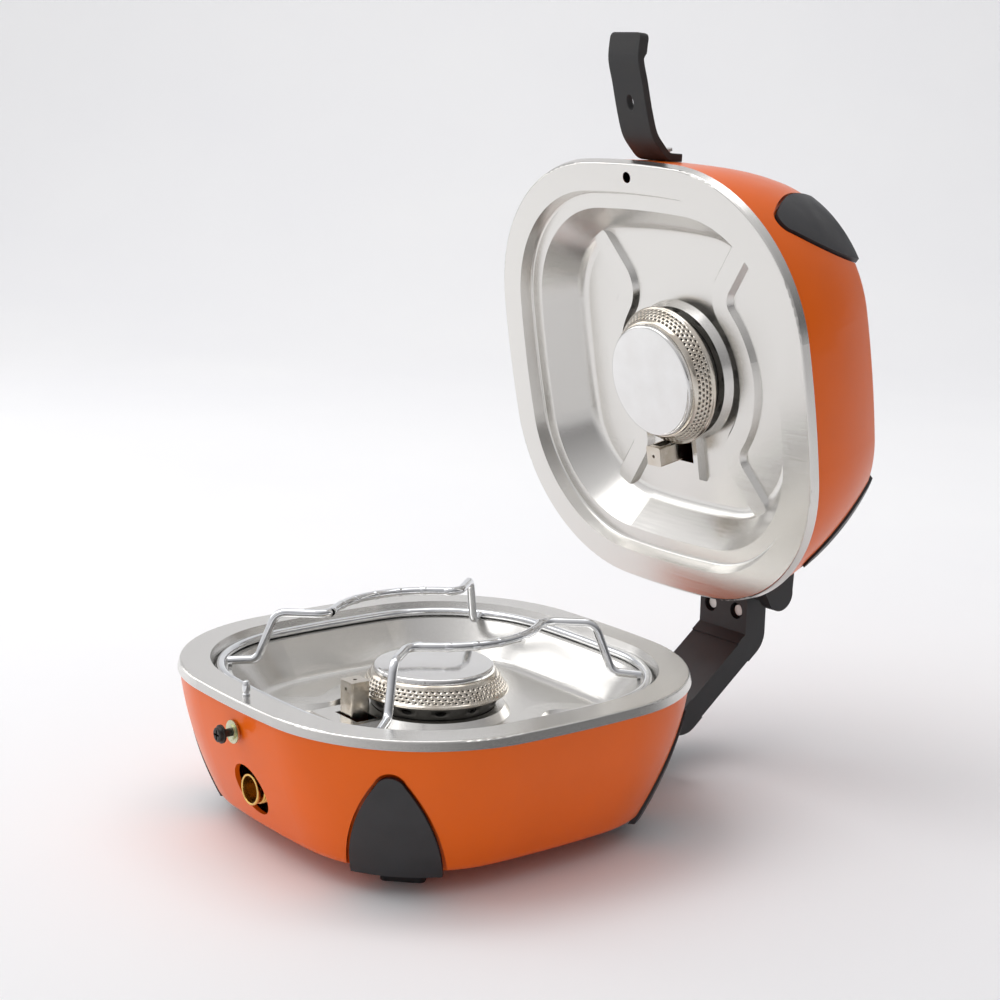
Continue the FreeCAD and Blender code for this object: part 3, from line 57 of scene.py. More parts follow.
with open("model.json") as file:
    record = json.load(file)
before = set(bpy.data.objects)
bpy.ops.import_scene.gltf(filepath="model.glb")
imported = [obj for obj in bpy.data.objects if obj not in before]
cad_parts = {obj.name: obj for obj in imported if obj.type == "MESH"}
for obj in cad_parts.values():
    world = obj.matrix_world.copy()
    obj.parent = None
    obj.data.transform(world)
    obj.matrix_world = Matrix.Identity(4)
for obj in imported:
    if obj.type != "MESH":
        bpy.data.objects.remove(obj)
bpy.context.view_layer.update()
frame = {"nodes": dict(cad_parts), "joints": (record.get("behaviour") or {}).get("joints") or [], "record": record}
NODES = frame["nodes"]
SLOT_OF_NODE = {part["node"]: part["material_slot"] for part in frame["record"]["subparts"]}
HALVES = ("base", "lid")
MM = 0.001
SMOOTH_ANGLE = math.radians(38)


# ---------------------------------------------------------------- settings
class StoveSizes(bpy.types.PropertyGroup):
    """Sizes that a user would change."""

    port_columns: IntProperty(
        name="Port columns", description="Gas ports round the burner skirt", default=68, min=24
    )
    port_rows: IntProperty(name="Port rows", description="Staggered rows of gas ports", default=4, min=1)
    port_share: FloatProperty(
        name="Port size", description="Port radius as a share of its cell", default=0.23
    )
    air_holes: IntProperty(
        name="Air holes", description="Oval air holes round each burner cup", default=12, min=4
    )
    skirt_sheet: FloatProperty(
        name="Skirt sheet", description="Thickness of the pressed skirt", default=0.0006, unit="LENGTH"
    )
    knob_flutes: IntProperty(
        name="Knob flutes", description="Grip flutes round a gas knob", default=18, min=6
    )
    strap_thickness: FloatProperty(
        name="Strap thickness", description="Rubber latch strap", default=0.0042, unit="LENGTH"
    )
    strap_width: FloatProperty(
        name="Strap width", description="Rubber latch strap", default=0.024, unit="LENGTH"
    )
    mark_spacing: FloatProperty(
        name="Grip mark spacing", description="Pressed marks along the pot support", default=0.0125,
        unit="LENGTH",
    )


class StoveColours(bpy.types.PropertyGroup):
    """Main colours of the finishes."""

    shell: FloatVectorProperty(
        name="Shell", description="Gloss moulded shell", default=(0.88, 0.14, 0.003), subtype="COLOR",
        size=3,
    )
    steel: FloatVectorProperty(
        name="Tray steel", description="Brushed tray", default=(0.73, 0.715, 0.685), subtype="COLOR", size=3
    )
    black: FloatVectorProperty(
        name="Black parts", description="Matt moulded parts", default=(0.022, 0.022, 0.024),
        subtype="COLOR", size=3,
    )
    brass: FloatVectorProperty(
        name="Brass", description="Gas fittings", default=(0.83, 0.56, 0.17), subtype="COLOR", size=3
    )


class StoveStage(bpy.types.PropertyGroup):
    """Camera and light."""

    azimuth: FloatProperty(
        name="Azimuth", description="Camera direction round the stove", default=math.radians(51.66),
        subtype="ANGLE",
    )
    elevation: FloatProperty(
        name="Elevation", description="Camera above the horizon", default=math.radians(12.09),
        subtype="ANGLE",
    )
    roll: FloatProperty(name="Roll", description="Camera roll", default=math.radians(1.5), subtype="ANGLE")
    distance: FloatProperty(
        name="Distance", description="Camera to its target", default=0.9853, unit="LENGTH"
    )
    lens: FloatProperty(name="Lens", description="Focal length in millimetres", default=72.64)
    key: FloatProperty(
        name="Key light", description="Power of the large top light, in watts", default=7.0
    )
    surround: FloatProperty(name="Surround", description="Brightness of the pale surround", default=0.85)


# ---------------------------------------------------------------- frames and mesh helpers
def box_centre(node):
    low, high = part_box(node)
    return (low + high) / 2


def half_frames():
    """Half frame to row frame, in metres, for both halves, from the hinge pins and shut limits."""
    base = Matrix.Translation((0, 0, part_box("base_tray")[1].z))
    shut = {joint["name"]: joint["range_deg"][0] for joint in frame["joints"] if joint["type"] == "hinge"}
    turn = Matrix.Rotation(math.radians(180 + shut["arm_hinge"] + shut["lid_hinge"]), 4, "X")
    pin = base.inverted() @ box_centre("base_hinge_pin")
    origin = box_centre("lid_hinge_pin") - turn @ Vector((0, -pin.y, pin.z))
    return {"base": base, "lid": Matrix.Translation(origin) @ turn}


HALF_FRAME = {half: matrix @ Matrix.Scale(MM, 4) for half, matrix in half_frames().items()}


def new_mesh(points, faces):
    mesh = bpy.data.meshes.new("made")
    mesh.from_pydata([tuple(point) for point in points], [], faces)
    return mesh


def joined(meshes):
    """One mesh from several, with doubles merged and faces pointing outwards."""
    whole = bmesh.new()
    for mesh in meshes:
        whole.from_mesh(mesh)
    bmesh.ops.remove_doubles(whole, verts=whole.verts, dist=0.01)
    bmesh.ops.recalc_face_normals(whole, faces=whole.faces)
    mesh = bpy.data.meshes.new("joined")
    whole.to_mesh(mesh)
    whole.free()
    return mesh


def lathe(profile, segments=96, radius_at=None):
    """A profile of (radius, height) turned about Z; an end that lies on the axis closes the mesh."""
    points = []
    rings = []
    for radius, height in profile:
        count = 1 if radius == 0 else segments
        rings.append(range(len(points), len(points) + count))
        for step in range(count):
            angle = 2 * math.pi * step / segments
            here = radius_at(radius, angle, height) if radius_at and radius else radius
            points.append((here * math.cos(angle), here * math.sin(angle), height))
    faces = []
    for lower, upper in zip(rings, rings[1:]):
        for step in range(segments):
            after = (step + 1) % segments
            if len(lower) == 1:
                faces.append((lower[0], upper[after], upper[step]))
            elif len(upper) == 1:
                faces.append((lower[step], lower[after], upper[0]))
            else:
                faces.append((lower[step], lower[after], upper[after], upper[step]))
    return new_mesh(points, faces)


def rounded(corners, steps=4):
    """A profile whose corners are rounded: each corner is (radius, height, rounding)."""
    profile = [corners[0][:2]]
    for before, corner, after in zip(corners, corners[1:], corners[2:]):
        here = Vector(corner[:2])
        back = Vector(before[:2]) - here
        ahead = Vector(after[:2]) - here
        reach = min(corner[2], back.length * 0.49, ahead.length * 0.49)
        if reach < 0.01:
            profile.append(tuple(here))
            continue
        start = here + back.normalized() * reach
        end = here + ahead.normalized() * reach
        for step in range(steps + 1):
            share = step / steps
            profile.append(tuple(start.lerp(here, share).lerp(here.lerp(end, share), share)))
    profile.append(corners[-1][:2])
    return profile


def flat_grid(low, high, columns, rows):
    """A rectangle of quads in the plane Z = 0."""
    points = []
    for row in range(rows + 1):
        for column in range(columns + 1):
            across = low[0] + (high[0] - low[0]) * column / columns
            points.append((across, low[1] + (high[1] - low[1]) * row / rows, 0))
    wide = columns + 1
    faces = []
    for row in range(rows):
        for start in range(row * wide, row * wide + columns):
            faces.append((start, start + 1, start + 1 + wide, start + wide))
    return new_mesh(points, faces)


def slab(sheets):
    """Flat meshes in the plane Z = 0 merged and made into one slab that reaches down to Z = -1."""
    whole = bmesh.new()
    for sheet in sheets:
        whole.from_mesh(sheet)
    bmesh.ops.remove_doubles(whole, verts=whole.verts, dist=0.01)
    made = bmesh.ops.extrude_face_region(whole, geom=whole.faces[:], use_keep_orig=True)
    for item in made["geom"]:
        if isinstance(item, bmesh.types.BMVert):
            item.co.z -= 1
    bmesh.ops.recalc_face_normals(whole, faces=whole.faces)
    mesh = bpy.data.meshes.new("slab")
    whole.to_mesh(mesh)
    whole.free()
    return mesh


class Path:
    """A smooth path through points, read by distance along it."""

    def __init__(self, points, steps=24):
        ends = [2 * points[0] - points[1], *points, 2 * points[-1] - points[-2]]
        self.places = []
        for before, here, there, after in zip(ends, ends[1:], ends[2:], ends[3:]):
            for step in range(steps):
                share = step / steps
                bend = 2 * before - 5 * here + 4 * there - after
                twist = 3 * here - before - 3 * there + after
                rise = (there - before) * share + bend * share**2 + twist * share**3
                self.places.append(here + rise / 2)
        self.places.append(points[-1])
        self.lengths = [0.0]
        for here, there in zip(self.places, self.places[1:]):
            self.lengths.append(self.lengths[-1] + (there - here).length)
        self.length = self.lengths[-1]

    def at(self, distance):
        index = min(max(bisect.bisect(self.lengths, distance) - 1, 0), len(self.places) - 2)
        step = self.lengths[index + 1] - self.lengths[index]
        share = (distance - self.lengths[index]) / step
        return self.places[index].lerp(self.places[index + 1], share)

    def direction(self, distance):
        return (self.at(distance + 0.5) - self.at(distance - 0.5)).normalized()


def swept(path, radius_at, steps, sides=20):
    """A round bar along a path that lies in a plane X = constant; radius_at(distance) gives its radius."""
    points = []
    for step in range(steps + 1):
        distance = path.length * step / steps
        side = Vector((1, 0, 0))
        up = path.direction(distance).cross(side)
        for corner in range(sides):
            angle = 2 * math.pi * corner / sides
            reach = side * math.cos(angle) + up * math.sin(angle)
            points.append(path.at(distance) + reach * radius_at(distance))
    faces = [tuple(range(sides)), tuple(range(steps * sides, (steps + 1) * sides))]
    for ring in range(0, steps * sides, sides):
        for corner in range(sides):
            after = (corner + 1) % sides
            faces.append((ring + corner, ring + after, ring + sides + after, ring + sides + corner))
    return new_mesh(points, faces)


def piece(name, mesh, matrix, slot, replaced=(), body=None, finish=None):
    """A finished piece: mesh in place at the origin, smoothed, given its finish and its CAD body."""
    mesh.transform(matrix)
    mesh.name = name
    for face in mesh.polygons:
        face.use_smooth = True
    mesh.set_sharp_from_angle(angle=SMOOTH_ANGLE)
    item = bpy.data.objects.new(name, mesh)
    bpy.context.scene.collection.objects.link(item)
    mesh.materials.clear()
    mesh.materials.append(FINISHES[finish or slot])
    if body:
        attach(item, body)
    if replaced:
        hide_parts(*replaced)
    return item


def add_modifier(item, kind, **settings):
    modifier = item.modifiers.new(kind.title(), kind)
    for name, value in settings.items():
        setattr(modifier, name, value)
    return modifier


# ---------------------------------------------------------------- geometry node trees
class Tree:
    """A geometry node tree being built, with named inputs."""

    def __init__(self, name, inputs):
        self.group = bpy.data.node_groups.new(name, "GeometryNodeTree")
        for label, kind in inputs:
            self.group.interface.new_socket(label, in_out="INPUT", socket_type=kind)
        self.group.interface.new_socket("Geometry", in_out="OUTPUT", socket_type="NodeSocketGeometry")
        self.start = self.group.nodes.new("NodeGroupInput")

    def input(self, label):
        return self.start.outputs[label]

    def plug(self, value, socket):
        if isinstance(value, bpy.types.NodeSocket):
            self.group.links.new(value, socket)
        else:
            socket.default_value = value

    def add(self, kind, output=0, settings=(), **inputs):
        """A node with inputs by name, underscores for spaces; gives one of its outputs."""
        node = self.group.nodes.new(kind)
        for name, value in settings:
            setattr(node, name, value)
        for label, value in inputs.items():
            self.plug(value, node.inputs[label.replace("_", " ")])
        return node.outputs[output]

    def sum(self, operation, first, second=0.0):
        node = self.group.nodes.new("ShaderNodeMath")
        node.operation = operation
        self.plug(first, node.inputs[0])
        self.plug(second, node.inputs[1])
        return node.outputs[0]

    def close(self, geometry):
        """Ends the tree in Realize Instances and Set Material."""
        real = self.add("GeometryNodeRealizeInstances", Geometry=geometry)
        dressed = self.add("GeometryNodeSetMaterial", Geometry=real, Material=self.input("Finish"))
        end = self.group.nodes.new("NodeGroupOutput")
        self.group.links.new(dressed, end.inputs[0])
        return self.group


def perforated_band_tree():
    """Rows of pierced cells, alternate rows staggered, wrapped round a cone."""
    tree = Tree("Perforated band", [
        ("Cell", "NodeSocketObject"), ("Columns", "NodeSocketInt"), ("Rows", "NodeSocketInt"),
        ("Top radius", "NodeSocketFloat"), ("Bottom radius", "NodeSocketFloat"),
        ("Top height", "NodeSocketFloat"), ("Bottom height", "NodeSocketFloat"),
        ("Bulge", "NodeSocketFloat"), ("Finish", "NodeSocketMaterial"),
    ])
    columns = tree.input("Columns")
    rows = tree.input("Rows")
    index = tree.add("GeometryNodeInputIndex")
    row = tree.sum("FLOOR", tree.sum("DIVIDE", index, columns))
    column = tree.sum("SUBTRACT", index, tree.sum("MULTIPLY", row, columns))
    stagger = tree.sum("MULTIPLY", tree.sum("MODULO", row, 2.0), 0.5)
    spot = tree.add("ShaderNodeCombineXYZ", X=tree.sum("ADD", column, stagger), Y=row)
    points = tree.add("GeometryNodePoints", Count=tree.sum("MULTIPLY", columns, rows), Position=spot)
    cell = tree.add("GeometryNodeObjectInfo", output="Geometry", Object=tree.input("Cell"))
    cells = tree.add("GeometryNodeInstanceOnPoints", Points=points, Instance=cell)
    flat = tree.add("GeometryNodeRealizeInstances", Geometry=cells)
    place = tree.group.nodes.new("ShaderNodeSeparateXYZ")
    tree.plug(tree.add("GeometryNodeInputPosition"), place.inputs[0])
    angle = tree.sum("MULTIPLY", tree.sum("DIVIDE", place.outputs[0], columns), 2 * math.pi)
    share = tree.sum("DIVIDE", tree.sum("ADD", place.outputs[1], 0.5), rows)

    def between(top, bottom):
        gap = tree.sum("SUBTRACT", tree.input(bottom), tree.input(top))
        return tree.sum("ADD", tree.input(top), tree.sum("MULTIPLY", gap, share))

    hump = tree.sum("MULTIPLY", share, tree.sum("SUBTRACT", 1.0, share))
    swell = tree.sum("MULTIPLY", tree.sum("MULTIPLY", hump, 4.0), tree.input("Bulge"))
    radius = tree.sum("ADD", between("Top radius", "Bottom radius"), swell)
    wrapped = tree.add(
        "ShaderNodeCombineXYZ", X=tree.sum("MULTIPLY", radius, tree.sum("COSINE", angle)),
        Y=tree.sum("MULTIPLY", radius, tree.sum("SINE", angle)), Z=between("Top height", "Bottom height"),
    )
    band = tree.add("GeometryNodeSetPosition", Geometry=flat, Position=wrapped)
    return tree.close(tree.add("GeometryNodeMergeByDistance", Geometry=band, Distance=0.01))


def marks_tree():
    """Small pressed marks spaced along a path, turned with it."""
    tree = Tree("Marks along a path", [
        ("Path", "NodeSocketObject"), ("Mark", "NodeSocketObject"), ("Spacing", "NodeSocketFloat"),
        ("Finish", "NodeSocketMaterial"),
    ])
    path = tree.add("GeometryNodeObjectInfo", output="Geometry", Object=tree.input("Path"))
    points = tree.group.nodes.new("GeometryNodeCurveToPoints")
    points.mode = "LENGTH"
    tree.plug(path, points.inputs["Curve"])
    tree.plug(tree.input("Spacing"), points.inputs["Length"])
    mark = tree.add("GeometryNodeObjectInfo", output="Geometry", Object=tree.input("Mark"))
    marks = tree.add(
        "GeometryNodeInstanceOnPoints", Points=points.outputs["Points"], Instance=mark,
        Rotation=points.outputs["Rotation"],
    )
    return tree.close(marks)


def grown(tree, **values):
    """Runs a tree on an empty object and gives its result as a plain mesh."""
    carrier = bpy.data.objects.new("carrier", bpy.data.meshes.new("carrier"))
    bpy.context.scene.collection.objects.link(carrier)
    modifier = carrier.modifiers.new("Tree", "NODES")
    modifier.node_group = tree
    for item in tree.interface.items_tree:
        if item.in_out == "INPUT":
            modifier[item.identifier] = values[item.name.replace(" ", "_").lower()]
    bpy.context.view_layer.update()
    shown = carrier.evaluated_get(bpy.context.evaluated_depsgraph_get())
    mesh = bpy.data.meshes.new_from_object(shown)
    bpy.data.objects.remove(carrier)
    if not mesh.polygons:
        raise RuntimeError(f"{tree.name} made nothing")
    return mesh


def helper_object(mesh):
    """An object that only feeds a tree; it is removed after use."""
    item = bpy.data.objects.new("helper", mesh)
    bpy.context.scene.collection.objects.link(item)
    return item


def pierced_cell(per_side, across, along):
    """A unit square with an oval hole, as a ring of quads; per_side is the steps along each side."""
    count = per_side * 4
    outer = []
    for step in range(count):
        side, place = divmod(step, per_side)
        along_side = place / per_side - 0.5
        outer.append(Matrix.Rotation(math.radians(90) * side, 2) @ Vector((0.5, along_side)))
    inner = []
    for point in outer:
        angle = math.atan2(point.y, point.x)
        inner.append(Vector((across * math.cos(angle), along * math.sin(angle))))
    levels = [outer, inner]
    if per_side > 2:
        levels.insert(1, [far.lerp(near, 0.55) for far, near in zip(outer, inner)])
    points = [(point.x, point.y, 0) for level in levels for point in level]
    faces = []
    for level in range(len(levels) - 1):
        for step in range(count):
            after = (step + 1) % count
            here = level * count
            there = here + count
            faces.append((here + step, here + after, there + after, there + step))
    return new_mesh(points, faces)


# ---------------------------------------------------------------- finishes
class Finish:
    """A procedural finish being built; patterns read object coordinates, in metres."""

    def __init__(self, name, colour, roughness, metallic=0.0, **sockets):
        self.material = bpy.data.materials.new(name)
        self.material.use_nodes = True
        self.tree = self.material.node_tree
        self.shader = self.tree.nodes["Principled BSDF"]
        self.set("Base Color", (*colour, 1))
        self.set("Roughness", roughness)
        self.set("Metallic", metallic)
        for label, value in sockets.items():
            self.set(label.replace("_", " "), value)
        self.place = self.tree.nodes.new("ShaderNodeTexCoord").outputs["Object"]

    def set(self, label, value):
        self.shader.inputs[label].default_value = value

    def link(self, value, label):
        self.tree.links.new(value, self.shader.inputs[label])

    def noise(self, scale, stretch=(1, 1, 1), detail=3.0):
        mapping = self.tree.nodes.new("ShaderNodeMapping")
        mapping.inputs["Scale"].default_value = stretch
        self.tree.links.new(self.place, mapping.inputs["Vector"])
        node = self.tree.nodes.new("ShaderNodeTexNoise")
        node.inputs["Scale"].default_value = scale
        node.inputs["Detail"].default_value = detail
        self.tree.links.new(mapping.outputs[0], node.inputs["Vector"])
        return node.outputs["Fac"]

    def remap(self, value, low, high, start=0.3, end=0.7):
        node = self.tree.nodes.new("ShaderNodeMapRange")
        for label, number in (("From Min", start), ("From Max", end), ("To Min", low), ("To Max", high)):
            node.inputs[label].default_value = number
        self.tree.links.new(value, node.inputs["Value"])
        return node.outputs[0]

    def tint(self, factor, first, second):
        node = self.tree.nodes.new("ShaderNodeMix")
        node.data_type = "RGBA"
        node.inputs["A"].default_value = (*first, 1)
        node.inputs["B"].default_value = (*second, 1)
        self.tree.links.new(factor, node.inputs["Factor"])
        self.link(node.outputs["Result"], "Base Color")

    def worn(self, first, second, low, high, scale, stretch=(1, 1, 1)):
        """Colour and roughness that drift together over the surface."""
        pattern = self.noise(scale, stretch)
        self.tint(self.remap(pattern, 0, 1), first, second)
        self.link(self.remap(pattern, low, high), "Roughness")

    def bump(self, *layers):
        """Layers of (pattern, depth in metres), one over the other."""
        normal = None
        for pattern, depth in layers:
            node = self.tree.nodes.new("ShaderNodeBump")
            node.inputs["Distance"].default_value = depth
            self.tree.links.new(pattern, node.inputs["Height"])
            if normal:
                self.tree.links.new(normal, node.inputs["Normal"])
            normal = node.outputs[0]
        self.link(normal, "Normal")


def shade(colour, factor):
    return tuple(min(1.0, channel * factor) for channel in colour)


ALONG_X = (0.012, 1, 1)  # stretches a pattern into streaks along X


def orange_shell():
    colour = bpy.context.scene.stove_colours.shell
    finish = Finish("orange_shell", colour, 0.34, Coat_Weight=0.22, Coat_Roughness=0.05)
    finish.set("Specular IOR Level", 0.16)
    finish.worn(shade(colour, 0.96), shade(colour, 1.04), 0.3, 0.38, 18)
    finish.bump((finish.noise(900), 0.000012), (finish.noise(40), 0.00006))
    return finish.material


def brushed_tray():
    colour = bpy.context.scene.stove_colours.steel
    finish = Finish("brushed_tray", colour, 0.3, 1.0)
    finish.worn(shade(colour, 0.985), shade(colour, 1.02), 0.21, 0.27, 1400, ALONG_X)
    finish.bump((finish.noise(2600, ALONG_X), 0.0000014), (finish.noise(26), 0.00001))
    return finish.material


def polished_steel():
    finish = Finish("polished_steel", (0.76, 0.75, 0.735), 0.1, 1.0)
    finish.worn((0.74, 0.73, 0.715), (0.78, 0.775, 0.765), 0.08, 0.12, 90)
    finish.bump((finish.noise(1500, (1, 1, 0.15)), 0.000001), (finish.noise(70), 0.000006))
    return finish.material


def skirt_steel():
    finish = Finish("skirt_steel", (0.66, 0.6, 0.52), 0.13, 1.0)
    finish.worn((0.58, 0.52, 0.44), (0.72, 0.68, 0.61), 0.1, 0.18, 120)
    finish.bump((finish.noise(500), 0.000006))
    return finish.material


def cup_iron():
    finish = Finish("cup_iron", (0.11, 0.108, 0.1), 0.5, 0.65)
    finish.worn((0.085, 0.082, 0.075), (0.15, 0.145, 0.135), 0.42, 0.6, 120)
    finish.bump((finish.noise(1800), 0.00002))
    return finish.material


def cast_aluminium():
    finish = Finish("cast_aluminium", (0.6, 0.6, 0.6), 0.55, 1.0)
    finish.worn((0.52, 0.52, 0.52), (0.66, 0.66, 0.65), 0.45, 0.65, 200)
    finish.bump((finish.noise(1400), 0.00005))
    return finish.material


def brass():
    colour = bpy.context.scene.stove_colours.brass
    finish = Finish("brass", colour, 0.2, 1.0)
    finish.worn(shade(colour, 0.82), shade(colour, 1.06), 0.16, 0.3, 150)
    finish.bump((finish.noise(2400, (1, 0.05, 1)), 0.00001))
    return finish.material


def black_plastic():
    colour = bpy.context.scene.stove_colours.black
    finish = Finish("black_plastic", colour, 0.5)
    finish.worn(shade(colour, 0.8), shade(colour, 1.5), 0.42, 0.6, 60)
    finish.bump((finish.noise(2200), 0.00004), (finish.noise(300), 0.00003))
    return finish.material


def black_rubber():
    finish = Finish("black_rubber", (0.028, 0.028, 0.029), 0.72)
    finish.worn((0.022, 0.022, 0.023), (0.042, 0.041, 0.04), 0.64, 0.84, 90)
    finish.bump((finish.noise(1600), 0.00004), (finish.noise(140), 0.00005))
    return finish.material


def nickel_steel():
    finish = Finish("nickel_steel", (0.62, 0.57, 0.5), 0.2, 1.0)
    finish.worn((0.56, 0.5, 0.42), (0.68, 0.64, 0.58), 0.16, 0.24, 160)
    finish.bump((finish.noise(2000, (1, 1, 0.1)), 0.000002))
    return finish.material


def ceramic():
    finish = Finish("ceramic", (0.86, 0.84, 0.78), 0.2)
    finish.worn((0.8, 0.77, 0.7), (0.9, 0.89, 0.84), 0.15, 0.3, 300)
    return finish.material


def chrome():
    finish = Finish("chrome", (0.8, 0.81, 0.83), 0.06, 1.0)
    finish.worn((0.76, 0.77, 0.79), (0.84, 0.85, 0.86), 0.04, 0.12, 110)
    finish.bump((finish.noise(160), 0.00006))
    return finish.material


def black_screw():
    finish = Finish("black_screw", (0.03, 0.028, 0.027), 0.4, 0.7)
    finish.worn((0.02, 0.02, 0.02), (0.06, 0.055, 0.05), 0.3, 0.5, 400)
    return finish.material


def zinc_steel():
    finish = Finish("zinc_steel", (0.6, 0.62, 0.42), 0.3, 1.0)
    finish.worn((0.52, 0.55, 0.34), (0.68, 0.68, 0.52), 0.22, 0.4, 400)
    return finish.material


def plain_steel():
    finish = Finish("plain_steel", (0.55, 0.54, 0.52), 0.34, 1.0)
    finish.worn((0.46, 0.45, 0.43), (0.62, 0.61, 0.59), 0.26, 0.44, 220)
    finish.bump((finish.noise(1500), 0.00001))
    return finish.material


FINISH_MAKERS = (
    orange_shell, brushed_tray, polished_steel, skirt_steel, cup_iron, cast_aluminium, brass, black_plastic,
    black_rubber, nickel_steel, ceramic, chrome, black_screw, zinc_steel, plain_steel,
)
FINISHES = {}


# ---------------------------------------------------------------- pieces
class STOVE_OT_finishes(bpy.types.Operator):
    """Makes the finishes and gives every CAD node the one its material slot names"""

    bl_idname = "stove.finishes"
    bl_label = "Finishes"

    def execute(self, context):
        for maker in FINISH_MAKERS:
            FINISHES[maker.__name__] = maker()
        for node, item in NODES.items():
            item.data.materials.clear()
            item.data.materials.append(FINISHES[SLOT_OF_NODE[node]])
        return {"FINISHED"}


CAP_RADIUS = 31.0
SKIRT_TOP = (33.4, -6.8)  # (radius, height) of the pierced band's ends
SKIRT_BOTTOM = (37.6, -13.3)
CUP_TOP = (35.6, -15.6)  # (radius, height) of the ends of the cup's band of air holes
CUP_FOOT = (32.2, -22.6)
CUP_SHEET = 0.0011  # in metres
CELL_STEPS = 8  # steps along each side of a large cell


class STOVE_OT_burners(bpy.types.Operator):
    """Burner caps, perforated skirts and pierced cups of both halves"""

    bl_idname = "stove.burners"
    bl_label = "Burners"

    def execute(self, context):
        sizes = context.scene.stove_sizes
        tree = perforated_band_tree()
        for half in HALVES:
            where = HALF_FRAME[half]
            self.make_cap(half, where)
            self.make_skirt(half, where, tree, sizes)
            self.make_cup(half, where, tree, sizes)
        return {"FINISHED"}

    def make_cap(self, half, where):
        profile = rounded([
            (0, -2.0, 0), (CAP_RADIUS, -2.0, 2.2), (CAP_RADIUS + 0.6, -4.8, 0.3),
            (CAP_RADIUS - 1.2, -4.8, 0.2), (CAP_RADIUS - 1.4, -3.4, 0.3), (0, -3.0, 0),
        ])
        cap = joined([lathe(profile, 128)])
        piece(f"{half}_cap", cap, where, "polished_steel", [f"{half}_burner_cap"], half)

    def make_skirt(self, half, where, tree, sizes):
        cell = helper_object(pierced_cell(2, sizes.port_share, sizes.port_share * 1.25))
        band = grown(
            tree, cell=cell, columns=sizes.port_columns, rows=sizes.port_rows, top_radius=SKIRT_TOP[0],
            bottom_radius=SKIRT_BOTTOM[0], top_height=SKIRT_TOP[1], bottom_height=SKIRT_BOTTOM[1],
            bulge=0.35, finish=FINISHES["polished_steel"],
        )
        bpy.data.objects.remove(cell)
        segments = sizes.port_columns * 2
        shoulder = lathe([(29.5, -4.9), (31.2, -4.8), (32.2, -5.1), (33.0, -6.0), SKIRT_TOP], segments)
        lip = lathe([
            SKIRT_BOTTOM, (38.1, -13.8), (38.7, -14.1), (38.95, -14.6), (38.7, -15.2), (38.1, -15.4),
            (36.2, -15.3),
        ], segments)
        item = piece(
            f"{half}_skirt", joined([band, shoulder, lip]), where, "polished_steel",
            [f"{half}_burner_skirt"], half, "skirt_steel",
        )
        add_modifier(item, "SOLIDIFY", thickness=sizes.skirt_sheet, offset=-1)

    def make_cup(self, half, where, tree, sizes):
        cell = helper_object(pierced_cell(CELL_STEPS, 0.17, 0.23))
        band = grown(
            tree, cell=cell, columns=sizes.air_holes, rows=1, top_radius=CUP_TOP[0],
            bottom_radius=CUP_FOOT[0], top_height=CUP_TOP[1], bottom_height=CUP_FOOT[1], bulge=0.0,
            finish=FINISHES["cup_iron"],
        )
        bpy.data.objects.remove(cell)
        segments = sizes.air_holes * CELL_STEPS
        neck = lathe([
            CUP_FOOT, (31.0, -22.9), (26.0, -22.9), (25.6, -24.0), (25.8, -27), (20, -37.6), (0, -37.8),
        ], segments)
        item = piece(f"{half}_cup", joined([band, neck]), where, "cup_iron", [f"{half}_burner_cup"], half)
        add_modifier(item, "SOLIDIFY", thickness=CUP_SHEET, offset=-1)


AXIS_OUT_LEFT = Matrix.Rotation(math.radians(-90), 4, "Y")  # turns +Z to -X
AXIS_OUT_FRONT = Matrix.Rotation(math.radians(90), 4, "X")  # turns +Z to -Y


def in_half(half, corner, turn=None):
    """Matrix that places a piece drawn in millimetres at a corner of a half frame."""
    return HALF_FRAME[half] @ Matrix.Translation(corner) @ (turn or Matrix())


def half_box(node):
    """Low and high corner of one of the base's nodes, in millimetres in the half frame."""
    inverse = HALF_FRAME["base"].inverted()
    low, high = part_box(node)
    return inverse @ low, inverse @ high


FLUTE_DEPTH = 0.55
BUTTON_RADIUS = 6.0
BUTTON_BASE = half_box("base_igniter_button")[1].x - 14  # the button's plunger reaches 14 mm inwards


